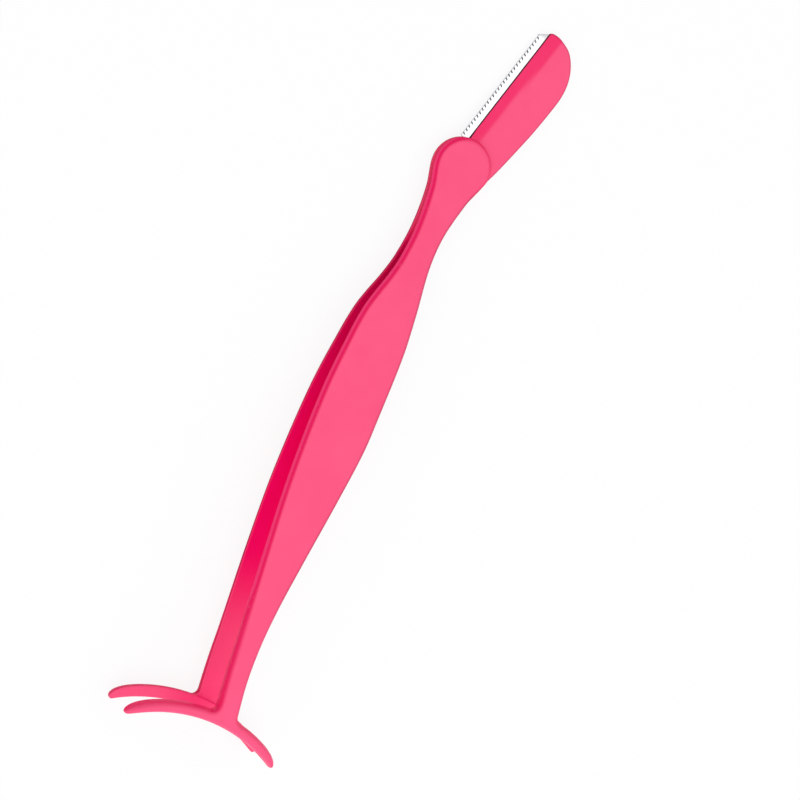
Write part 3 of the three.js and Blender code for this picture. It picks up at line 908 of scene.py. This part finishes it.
class RazorShape:
    """Outline of the holder and places of the strip and the guard in it."""

    def __init__(self, sizes):
        r = self.sizes = sizes
        self.half = r.holder_thickness / 2
        self.blade_half = r.blade_thickness / 2
        self.guard_inside = self.blade_half + r.seat
        self.guard_half = self.guard_inside + r.guard_foil
        self.blade_end = r.holder_length - r.blade_setback
        self.guard_tail = r.holder_edge - r.guard_tuck
        self.ground = r.guard_edge - r.blade_cover
        self.blade_tail = self.ground - r.blade_depth
        self.mouth = (r.guard_start - r.mouth_room, self.blade_end + r.mouth_room)

    def outline(self):
        """Plan outline, anticlockwise from the back of the tang."""
        r = self.sizes
        back = [(along * r.holder_length, -across * r.holder_spine) for along, across in HOLDER_BACK]
        points = []
        for i in range(len(back) - 1):
            near = [back[max(0, min(i + k, len(back) - 1))] for k in (-1, 0, 1, 2)]
            points += [spline(near, k / BACK_STEPS) for k in range(BACK_STEPS)]
        tip, turn_in = back[-1], (r.holder_length, TIP_TURN_IN * r.holder_edge)
        edge = (self.blade_end + EDGE_LEAD, r.holder_edge)
        for t in np.linspace(0, 1, BACK_STEPS):
            ways = ((1 - t) ** 2, 2 * t * (1 - t), t**2)
            points.append(tuple(np.array(ways) @ np.array((tip, turn_in, edge))))
        start, stop = math.asin(r.holder_edge / r.tang_radius), math.radians(TANG_END)
        points.append((mix(edge[0], r.tang_radius * math.cos(start), 0.5), r.holder_edge))
        return points + arc(r.tang_radius, np.linspace(start, stop, TANG_STEPS))

    def facet(self, x, y):
        """(fall, share of painted shade) of the facet beside the blade, with a soft ridge."""
        r = self.sizes
        begin, toned = (eased((x - r.bevel_start + ahead) / r.bevel_run_in) for ahead in (0, TONE_LEAD))
        ridge = -r.bevel_spread * (x - r.bevel_start) / (r.holder_length - r.bevel_start)
        past = y - ridge
        soft = (past + math.hypot(past, r.bevel_softness / 2)) / 2
        fall = begin * r.bevel_depth * soft / (r.holder_edge - ridge)
        return fall, toned * eased(past / r.bevel_softness + 0.5)

    def tip_at(self, y):
        """End of the strip and the guard, with their outer corner cut off."""
        r = self.sizes
        begin = r.holder_edge + ROOT_DEPTH
        return self.blade_end - r.guard_trim * max(0, y - begin) / (r.guard_edge - begin)

    def in_mouth(self, x, y):
        return self.mouth[0] < x < self.mouth[1] and y > self.sizes.holder_edge - MOUTH_DEPTH


def spline(near, t):
    """Point between the middle two of four neighbours."""
    p = np.array(near)
    ways = (-t + 2 * t**2 - t**3, 2 - 5 * t**2 + 3 * t**3, t + 4 * t**2 - 3 * t**3, t**3 - t**2)
    return tuple(np.array(ways) / 2 @ p)


class TWEEZERS_OT_razor_holder(bpy.types.Operator):
    """Moulds the flat holder with its facet, pin hole and stepped slot for strip and guard"""

    bl_idname = "tweezers.razor_holder"
    bl_label = "Razor holder"

    def execute(self, context):
        r = drawn(context.scene.tweezers_razor)
        pivot = drawn(context.scene.tweezers_pivot)
        shape = RazorShape(r)
        skin = Skin("rim", "facet", "seam")
        loop = resampled(shape.outline())
        mouth = np.array([shape.in_mouth(x, y) for x, y in loop])
        radius = evened(np.where(mouth, r.lip_rounding, r.holder_rounding), passes=4)
        broad = np.where(mouth, r.lip_rounding, 2 * r.holder_rounding)
        broad = evened(np.minimum(broad, BEND_SHARE * bend_room(loop)), passes=4)

        def over(x, y):
            return shape.half - shape.facet(x, y)[0]

        def below(x, y):
            return -over(x, y)

        # Holder marks: painted shade on the rims and the facet, and the painted shadow in the slot's mouth
        def mark(x, y, near=0, way=None):
            seam = eased(2 * near) * shape.in_mouth(x, y)
            return {"rim": HOLDER_RIM * near, "facet": shape.facet(x, y)[1], "seam": seam}

        top = rounded_rim(skin, loop, over, broad, radius, RIM_STEPS, mark)
        low = rounded_rim(skin, loop, below, broad, -radius, RIM_STEPS, mark)
        wide, narrow = shape.guard_half + r.seat, shape.blade_half + r.seat
        deep, deepest = r.guard_tuck + r.seat, r.holder_edge - shape.blade_tail + r.seat
        lips = []
        for z in (-wide, wide):
            lips.append([skin.point(x, y, z, **mark(x, y, 1)) for x, y in loop])
        open_at = np.flatnonzero(mouth)
        skin.bands([*low[::-1], lips[0]])
        skin.band(*lips, skip=set(open_at[:-1]))
        skin.bands([lips[1], *top])
        walls = [[lips[0][i] for i in open_at]]
        section = ((deep, wide), (deep, narrow), (deepest, narrow))
        section = [(inset, -z) for inset, z in section] + list(section[::-1])
        # The slot's walls take the full painted shadow
        for inset, z in section:
            walls.append([skin.point(x, y - inset, z, seam=1) for x, y in loop[open_at]])
        walls.append([lips[1][i] for i in open_at])
        skin.bands(walls, closed=False)
        skin.faces.append([wall[0] for wall in walls])
        skin.faces.append([wall[-1] for wall in walls][::-1])
        hole = circle(pivot.pin_radius + pivot.pin_clearance / 2)
        rims = []
        for rows, height, up in ((top, over, True), (low, below, False)):
            spots = face_spots(skin.plan(rows[-1]), HOLDER_FACE_STEP)
            spots = spots[np.hypot(*spots.T) > pivot.pin_radius + HOLE_MARGIN]
            rims.append(skin.cap(rows[-1], spots, height, mark, up, hole))
        skin.band(rims[0], rims[1])
        plastic = moulded_plastic("holder_pink", context.scene.tweezers_finishes)
        made = piece("razor_holder_moulding", skin, razor_place(r), plastic, "razor_holder")
        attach(made, "razor")
        return {"FINISHED"}


class TWEEZERS_OT_razor_blade(bpy.types.Operator):
    """Grinds the blade strip that sits in the holder's slot"""

    bl_idname = "tweezers.razor_blade"
    bl_label = "Razor blade"

    def execute(self, context):
        r = drawn(context.scene.tweezers_razor)
        shape = RazorShape(r)
        half, edge = shape.blade_half, shape.ground
        # The ground tone is partly painted shade, seen through the guard's slots
        tone = [edge - back for back in GROUND_TONE]
        side = [(shape.blade_tail + ahead, part) for ahead, part in BLADE_BACK]
        side += [(edge - back, part) for back, part in BLADE_GRIND]
        profile = [(y, -half * part) for y, part in side] + [(y, half * part) for y, part in side[::-1]]
        skin = Skin("ground")
        rows = []
        for part in np.linspace(0, 1, BLADE_STEPS):
            row = []
            for y, z in profile:
                x = mix(r.guard_start, shape.tip_at(y) - BLADE_SHORT, part)
                row.append(skin.point(x, y, z, ground=rise(y, *tone)))
            rows.append(row)
        skin.bands(rows)
        skin.faces += [rows[0][::-1], rows[-1]]
        steel = bright_steel("ground_steel", context.scene.tweezers_finishes)
        made = piece("razor_blade_strip", skin, razor_place(r), steel, "razor_blade")
        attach(made, "razor")
        return {"FINISHED"}


def foil_rows(shape):
    """(y, turn round the fold, in the slot) of each row of the foil, from one tail to the other."""
    r = shape.sizes
    fold = r.guard_edge - shape.guard_half
    slot = r.guard_edge - r.slot_depth
    flat = [shape.guard_tail, *(r.holder_edge + part * ROOT_DEPTH for part in (0, 0.5, 1))]
    flat += [mix(r.holder_edge, slot, 0.6), slot, mix(slot, fold, 0.5), fold]
    rows = [(y, 90) for y in flat]
    rows += [(fold, 90 - 22.5 * k) for k in range(1, 8)]
    rows += [(y, -90) for y in flat[::-1]]
    return [(y, math.radians(turn), y >= slot - 1e-6) for y, turn in rows]


def foil_length(name, shape, slotted, span):
    """One length of folded foil, open at both ends, with or without a slanted slot."""
    r = shape.sizes
    rows = foil_rows(shape)
    lean = math.tan(r.slot_slant)
    middle = span / 2 + lean * r.slot_depth / 2
    columns = 4 if slotted else 2
    points = []
    for radius in (shape.guard_half, shape.guard_inside):
        for y, turn, in_slot in rows:
            at = max(y, r.guard_edge - r.slot_depth) - r.guard_edge + shape.guard_half * in_slot
            cuts = [middle + lean * min(at, 0) + side * r.slot_width / 2 for side in (-1, 1)]
            for x in [0, *cuts, span] if slotted else [0, span]:
                points.append((x, y + radius * math.cos(turn), radius * math.sin(turn)))
    solid = set()
    for k in range(len(rows) - 1):
        cut = slotted and rows[k][2] and rows[k + 1][2]
        solid |= {(k, c) for c in range(columns - 1) if not (cut and c == 1)}
    faces = []
    for k, c in sorted(solid):
        corners = [(k, c), (k, c + 1), (k + 1, c + 1), (k + 1, c)]
        outside = [row * columns + column for row, column in corners]
        within = [i + len(rows) * columns for i in outside]
        faces += [outside, within[::-1]]
        for i, beside in enumerate([(k - 1, c), (k, c + 1), (k + 1, c), (k, c - 1)]):
            if beside not in solid and 0 <= beside[1] < columns - 1:
                j = (i + 1) % 4
                faces.append([outside[j], outside[i], within[i], within[j]])
    # Painted shadow on the guard's foot just outside the holder
    roots = [float(y < r.holder_edge + ROOT_DEPTH) for _, y, _ in points]
    return placed(name, drawn_mesh(name, points, faces, {"root": roots}))


class Nodes:
    """Adds nodes to a tree, with inputs that are values or other nodes' sockets."""

    def __init__(self, tree):
        self.tree = tree

    def node(self, kind, inputs, **settings):
        made = self.tree.nodes.new(kind)
        for key, value in settings.items():
            setattr(made, key, value)
        self.fill(made, inputs)
        return made

    def fill(self, node, inputs):
        for key, value in inputs.items():
            self.feed(node.inputs[key], value)

    def feed(self, socket, value):
        if isinstance(value, bpy.types.NodeSocket):
            self.tree.links.new(value, socket)
        else:
            socket.default_value = value

    def worked(self, operation, first, second, **settings):
        inputs = {0: first, 1: second}
        return self.node("ShaderNodeMath", inputs, operation=operation, **settings).outputs[0]


def guard_tree():
    """Repeats the slotted length of foil along the razor, between two plain lengths."""
    tree = bpy.data.node_groups.new("Guard slots", "GeometryNodeTree")
    face = tree.interface
    for name, kind in (
        ("Slotted length", "Geometry"),
        ("Plain length", "Object"),
        ("Slots", "Int"),
        ("Pitch", "Float"),
        ("Start", "Float"),
        ("First slot", "Float"),
        ("End", "Float"),
        ("Material", "Material"),
    ):
        face.new_socket(name, in_out="INPUT", socket_type="NodeSocket" + kind)
    face.new_socket("Foil", in_out="OUTPUT", socket_type="NodeSocketGeometry")
    made = Nodes(tree)
    given = made.node("NodeGroupInput", {}).outputs
    pitch, slotted, plain = given["Pitch"], given["Slotted length"], given["Plain length"]

    def along(x, y=0, z=0):
        return made.node("ShaderNodeCombineXYZ", {"X": x, "Y": y, "Z": z}).outputs["Vector"]

    slotted_from = made.worked("SUBTRACT", given["First slot"], made.worked("DIVIDE", pitch, 2))
    slotted_to = made.worked("ADD", slotted_from, made.worked("MULTIPLY", pitch, given["Slots"]))
    row = {"Count": given["Slots"], "Start Location": along(slotted_from), "Offset": along(pitch)}
    line = made.node("GeometryNodeMeshLine", row).outputs["Mesh"]
    teeth = made.node("GeometryNodeInstanceOnPoints", {"Points": line, "Instance": slotted})
    joined = made.node("GeometryNodeJoinGeometry", {"Geometry": teeth.outputs["Instances"]})
    unit = made.node("GeometryNodeObjectInfo", {"Object": plain}).outputs["Geometry"]
    for begin, stop in ((given["Start"], slotted_from), (slotted_to, given["End"])):
        scale = along(made.worked("SUBTRACT", stop, begin), 1, 1)
        place = {"Geometry": unit, "Translation": along(begin), "Scale": scale}
        stretch = made.node("GeometryNodeTransform", place)
        made.feed(joined.inputs["Geometry"], stretch.outputs["Geometry"])
    foil = joined.outputs["Geometry"]
    for kind, inputs in (
        ("GeometryNodeRealizeInstances", {}),
        ("GeometryNodeMergeByDistance", {"Distance": 0.001}),
        ("GeometryNodeSetMaterial", {"Material": given["Material"]}),
    ):
        foil = made.node(kind, {"Geometry": foil} | inputs).outputs["Geometry"]
    made.node("NodeGroupOutput", {"Foil": foil})
    return tree


class TWEEZERS_OT_blade_guard(bpy.types.Operator):
    """Stamps and folds the slotted foil over the cutting edge"""

    bl_idname = "tweezers.blade_guard"
    bl_label = "Blade guard"

    def execute(self, context):
        r = drawn(context.scene.tweezers_razor)
        shape = RazorShape(r)
        first = r.guard_start + r.guard_lead
        pitch = (shape.blade_end - r.guard_trail - first) / (r.guard_slots - 1)
        slotted = foil_length("slotted_foil", shape, True, pitch)
        plain = foil_length("plain_foil", shape, False, 1)
        steel = bright_steel("foil_steel", context.scene.tweezers_finishes)
        tree = guard_tree()
        modifier = slotted.modifiers.new("Guard slots", "NODES")
        modifier.node_group = tree
        values = {
            "Plain length": plain,
            "Slots": r.guard_slots,
            "Pitch": pitch,
            "Start": r.guard_start,
            "First slot": first,
            "End": shape.blade_end,
            "Material": steel,
        }
        for socket in tree.interface.items_tree:
            if socket.name in values:
                modifier[socket.identifier] = values[socket.name]
        view = context.evaluated_depsgraph_get()
        foil = bpy.data.meshes.new_from_object(slotted.evaluated_get(view))
        slotted.modifiers.clear()
        for helper in (slotted, plain):
            bpy.data.objects.remove(helper)
        shell = bmesh.new()
        shell.from_mesh(foil)
        rims = [edge for edge in shell.edges if edge.is_boundary]
        ends = bmesh.ops.holes_fill(shell, edges=rims, sides=0)["faces"]
        bmesh.ops.triangulate(shell, faces=ends)
        bmesh.ops.recalc_face_normals(shell, faces=shell.faces)
        root = shell.verts.layers.float["root"]
        # The guard's end is also darkened, to half of the slot's painted shadow colour
        for corner in (corner for corner in shell.verts if corner.co.x > shape.blade_end - 0.01):
            corner[root] = max(corner[root], GUARD_END_TONE)
            corner.co.x = shape.tip_at(corner.co.y)
        bmesh.ops.transform(shell, matrix=razor_place(r), verts=shell.verts)
        shell.to_mesh(foil)
        shell.free()
        foil.name = "blade_guard_foil"
        made = finished("blade_guard_foil", foil, steel, "blade_guard")
        foil.set_sharp_from_angle(angle=math.radians(SHARP_ANGLE))
        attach(made, "razor")
        return {"FINISHED"}


class Finish(Nodes):
    """A node material while it is put together."""

    def __init__(self, name):
        self.material = bpy.data.materials.new(name)
        self.material.use_nodes = True
        super().__init__(self.material.node_tree)
        self.surface = self.tree.nodes["Principled BSDF"]

    def noise(self, scale, detail, stretch=(1, 1, 1)):
        """Cloudy pattern on the piece's own coordinates, about 0.5."""
        where = self.node("ShaderNodeTexCoord", {}).outputs["Object"]
        scaled = self.node("ShaderNodeMapping", {"Vector": where, "Scale": stretch})
        wave = {"Vector": scaled.outputs["Vector"], "Scale": scale, "Detail": detail}
        return self.node("ShaderNodeTexNoise", wave).outputs["Fac"]

    def mark(self, name):
        return self.node("ShaderNodeAttribute", {}, attribute_name=name).outputs["Fac"]

    def ramp(self, value, low, high, to_low=0.0, to_high=1.0):
        ends = {"Value": value, "From Min": low, "From Max": high, "To Min": to_low, "To Max": to_high}
        return self.node("ShaderNodeMapRange", ends, interpolation_type="SMOOTHSTEP").outputs["Result"]

    def blend(self, part, first, second):
        made = self.tree.nodes.new("ShaderNodeMix")
        made.data_type = "RGBA"
        self.feed(made.inputs["Factor"], part)
        for key, value in (("A", first), ("B", second)):
            socket = next(s for s in made.inputs if s.name == key and s.type == "RGBA")
            self.feed(socket, value if isinstance(value, bpy.types.NodeSocket) else (*value, 1))
        return next(s for s in made.outputs if s.type == "RGBA")

    def bump(self, height, strength, distance):
        made = {"Height": height, "Strength": strength, "Distance": distance}
        return self.node("ShaderNodeBump", made).outputs["Normal"]


def moulded_plastic(name, finishes):
    """Satin pink plastic with painted shade along rims, between the arms and on the facet, painted edge
    lines and highlights and the slot's painted shadow, faintly clouded, with fine mould grain.
    """
    made = Finish(name)
    cloud = made.noise(90, 3)
    paint = made.blend(made.ramp(cloud, 0.3, 0.7, 0, 0.1), finishes.pink, finishes.rim_shade_and_tint_pink)
    # The rim mark paints shade along the rounded edges, weaker where the lamps light them
    rim = made.mark("rim")
    band = made.ramp(rim, 0.02, 0.5)
    if name == "arm_pink":
        # Painted shade between the arms, deeper where the gap is narrow
        between = made.blend(made.mark("deep"), finishes.between_shade_pink, finishes.narrow_gap_shade_pink)
        paint = made.blend(made.mark("inner"), paint, between)
        # Painted shade band on the rims and, at the outermost edge, a painted dark line or a pale painted
        # highlight
        dark = made.mark("line")
        paint = made.blend(band, paint, made.blend(dark, finishes.rim_shade_and_tint_pink, finishes.edge_shade_pink))
        line = made.blend(dark, finishes.foot_highlight_pink, finishes.edge_shade_pink)
        paint = made.blend(made.ramp(rim, 0.66, 0.88), paint, line)
    else:
        # Painted shade on the facet beside the blade
        paint = made.blend(made.mark("facet"), paint, finishes.facet_shade_pink)
        # The holder's rims take the painted edge shade
        paint = made.blend(band, paint, finishes.edge_shade_pink)
        # Painted shadow in the slot's mouth
        paint = made.blend(made.mark("seam"), paint, finishes.seam)
    worn = made.ramp(made.noise(1400, 4), 0.6, 0.75, 0, 0.12)
    worn = made.worked("MULTIPLY", worn, made.ramp(rim, 0.2, 0.6))
    shine = made.ramp(made.mark("inner"), 0, 1, finishes.shine, 0.2 * finishes.shine)
    satin = finishes.satin
    looks = {
        "Base Color": made.blend(worn, paint, finishes.scuff_pink),
        "Specular IOR Level": made.worked("MULTIPLY", shine, made.ramp(rim, 0, 1, 1, 0)),
        "Roughness": made.ramp(made.noise(420, 5), 0.25, 0.75, satin - 0.05, satin + 0.06),
        "Normal": made.bump(made.noise(5200, 3), 0.12, 0.00003),
        "Subsurface Weight": 0.05,
        "Subsurface Radius": (1.0, 0.25, 0.4),
        "Subsurface Scale": 0.0006,
    }
    made.fill(made.surface, looks)
    return made.material


def bright_steel(name, finishes):
    """Bright steel with fine grinding lines, darker where it is ground, partly as painted shade seen through
    the guard's slots, and with the slot's painted shadow where a piece is marked for it.
    """
    made = Finish(name)
    lines = made.noise(2600, 4, (0.12, 1, 1))
    paint = made.blend(made.ramp(lines, 0.3, 0.7, 0, 0.12), finishes.steel, finishes.edge_steel_and_shade)
    # Ground edge: darker steel that also stands in for shade seen through the slots
    paint = made.blend(made.mark("ground"), paint, finishes.edge_steel_and_shade)
    polish = finishes.polish
    # Where a piece is marked for it, its foot takes the slot's painted shadow
    looks = {
        "Base Color": made.blend(made.mark("root"), paint, finishes.seam),
        "Roughness": made.ramp(lines, 0.25, 0.75, polish - 0.06, polish + 0.08),
        "Normal": made.bump(lines, 0.08, 0.00002),
        "Metallic": 1,
    }
    made.fill(made.surface, looks)
    return made.material


def floor_white(stage):
    """White to the camera and in reflections, matt below, so that shadows stay."""
    made = Finish("floor_white")
    ray = made.node("ShaderNodeLightPath", {}).outputs
    seen = made.worked("ADD", ray["Is Camera Ray"], ray["Is Glossy Ray"])
    seen = made.worked("ADD", seen, ray["Is Transmission Ray"], use_clamp=True)
    glow = made.node("ShaderNodeEmission", {"Color": (1, 1, 1, 1)})
    matt = made.node("ShaderNodeBsdfDiffuse", {"Color": (0.95, 0.95, 0.95, 1)})
    part = made.worked("MULTIPLY", seen, stage.floor)
    both = {0: part, 1: matt.outputs["BSDF"], 2: glow.outputs["Emission"]}
    mixed = made.node("ShaderNodeMixShader", both).outputs["Shader"]
    made.fill(made.tree.nodes["Material Output"], {"Surface": mixed})
    made.tree.nodes.remove(made.surface)
    return made.material


class TWEEZERS_OT_stage(bpy.types.Operator):
    """Lays the floor and sets the softboxes, the even light and the camera"""

    bl_idname = "tweezers.stage"
    bl_label = "Stage"

    def execute(self, context):
        scene = context.scene
        stage = drawn(scene.tweezers_stage)
        self.floor(stage)
        self.sky(scene, stage)
        target = TOOL @ Vector((stage.aim_x, stage.aim_y, 0))
        turn = TOOL.to_3x3().normalized()
        lean, swing = stage.lean, stage.swing
        toward = turn @ Vector((0, -math.sin(lean), math.cos(lean)))
        left = turn @ Vector((0, -math.cos(lean), -math.sin(lean)))
        along = turn @ Vector((1, 0, 0))
        right = -along * math.sin(swing) - left * math.cos(swing)
        up = -along * math.cos(swing) + left * math.sin(swing)
        view = Matrix((right, up, toward)).transposed().to_4x4()
        lens = bpy.data.cameras.new("camera")
        lens.lens = stage.lens
        lens.sensor_width = 36
        lens.clip_start = 0.01
        scene.camera = placed("camera", lens)
        scene.camera.matrix_world = Matrix.Translation(target + toward * stage.distance / 1000) @ view
        mirrored = turn @ Vector((0, math.sin(lean), math.cos(lean)))
        self.softbox("key", target, mirrored, KEY_BOX, stage.key_power)
        self.softbox("fill", target, turn @ Vector(FILL_WAY), FILL_BOX, stage.fill_power)
        scene.view_settings.view_transform = "Standard"
        return {"FINISHED"}

    def floor(self, stage):
        corners = [(FLOOR_REACH * x, FLOOR_REACH * y, 0) for x, y in ((-1, -1), (1, -1), (1, 1), (-1, 1))]
        mesh = drawn_mesh("floor", corners, [(0, 1, 2, 3)], {})
        mesh.materials.append(floor_white(stage))
        made = placed("floor", mesh)

    def sky(self, scene, stage):
        """Even white light, full white where the camera sees it."""
        world = bpy.data.worlds.new("studio")
        world.use_nodes = True
        made = Nodes(world.node_tree)
        seen = made.node("ShaderNodeLightPath", {}).outputs["Is Camera Ray"]
        level = made.node("ShaderNodeMapRange", {"Value": seen, "To Min": stage.sky, "To Max": 1})
        light = {"Strength": level.outputs["Result"], "Color": (1, 1, 1, 1)}
        made.fill(made.tree.nodes["Background"], light)
        scene.world = world

    def softbox(self, name, target, way, box, power):
        distance, size = box
        lamp = bpy.data.lights.new(name, "AREA")
        lamp.shape = "SQUARE"
        lamp.size = size
        lamp.energy = power
        turn = way.to_track_quat("Z", "Y").to_matrix().to_4x4()
        placed(name, lamp).matrix_world = Matrix.Translation(target + way * distance) @ turn


class TWEEZERS_PT_parts(bpy.types.Panel):
    """Sizes, finishes and pieces of the tweezers"""

    bl_idname = "TWEEZERS_PT_parts"
    bl_label = "Lash Tweezers"
    bl_space_type = "VIEW_3D"
    bl_region_type = "UI"
    bl_category = "Tweezers"

    def draw(self, context):
        for operator in OPERATORS:
            self.layout.operator(operator.bl_idname)
        for key, kind in GROUPS.items():
            box = self.layout.box()
            box.label(text=kind.__doc__)
            for name in kind.__annotations__:
                box.prop(getattr(context.scene, key), name)


GROUPS = {
    "tweezers_arms": ArmSizes,
    "tweezers_pivot": PivotSizes,
    "tweezers_razor": RazorSizes,
    "tweezers_finishes": Finishes,
    "tweezers_stage": StageSizes,
}
OPERATORS = (
    TWEEZERS_OT_arms,
    TWEEZERS_OT_neck_block,
    TWEEZERS_OT_pivot_pin,
    TWEEZERS_OT_razor_holder,
    TWEEZERS_OT_razor_blade,
    TWEEZERS_OT_blade_guard,
    TWEEZERS_OT_stage,
)


def register():
    for kind in (*GROUPS.values(), *OPERATORS, TWEEZERS_PT_parts):
        bpy.utils.register_class(kind)
    for key, kind in GROUPS.items():
        setattr(bpy.types.Scene, key, PointerProperty(type=kind))


def unregister():
    for key in GROUPS:
        delattr(bpy.types.Scene, key)
    for kind in (TWEEZERS_PT_parts, *OPERATORS[::-1], *GROUPS.values()):
        bpy.utils.unregister_class(kind)


def main():
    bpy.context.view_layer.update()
    register()
    bpy.ops.tweezers.arms()
    bpy.ops.tweezers.neck_block()
    bpy.ops.tweezers.pivot_pin()
    bpy.ops.tweezers.razor_holder()
    bpy.ops.tweezers.razor_blade()
    bpy.ops.tweezers.blade_guard()
    bpy.ops.tweezers.stage()


if __name__ == "__main__":
    main()
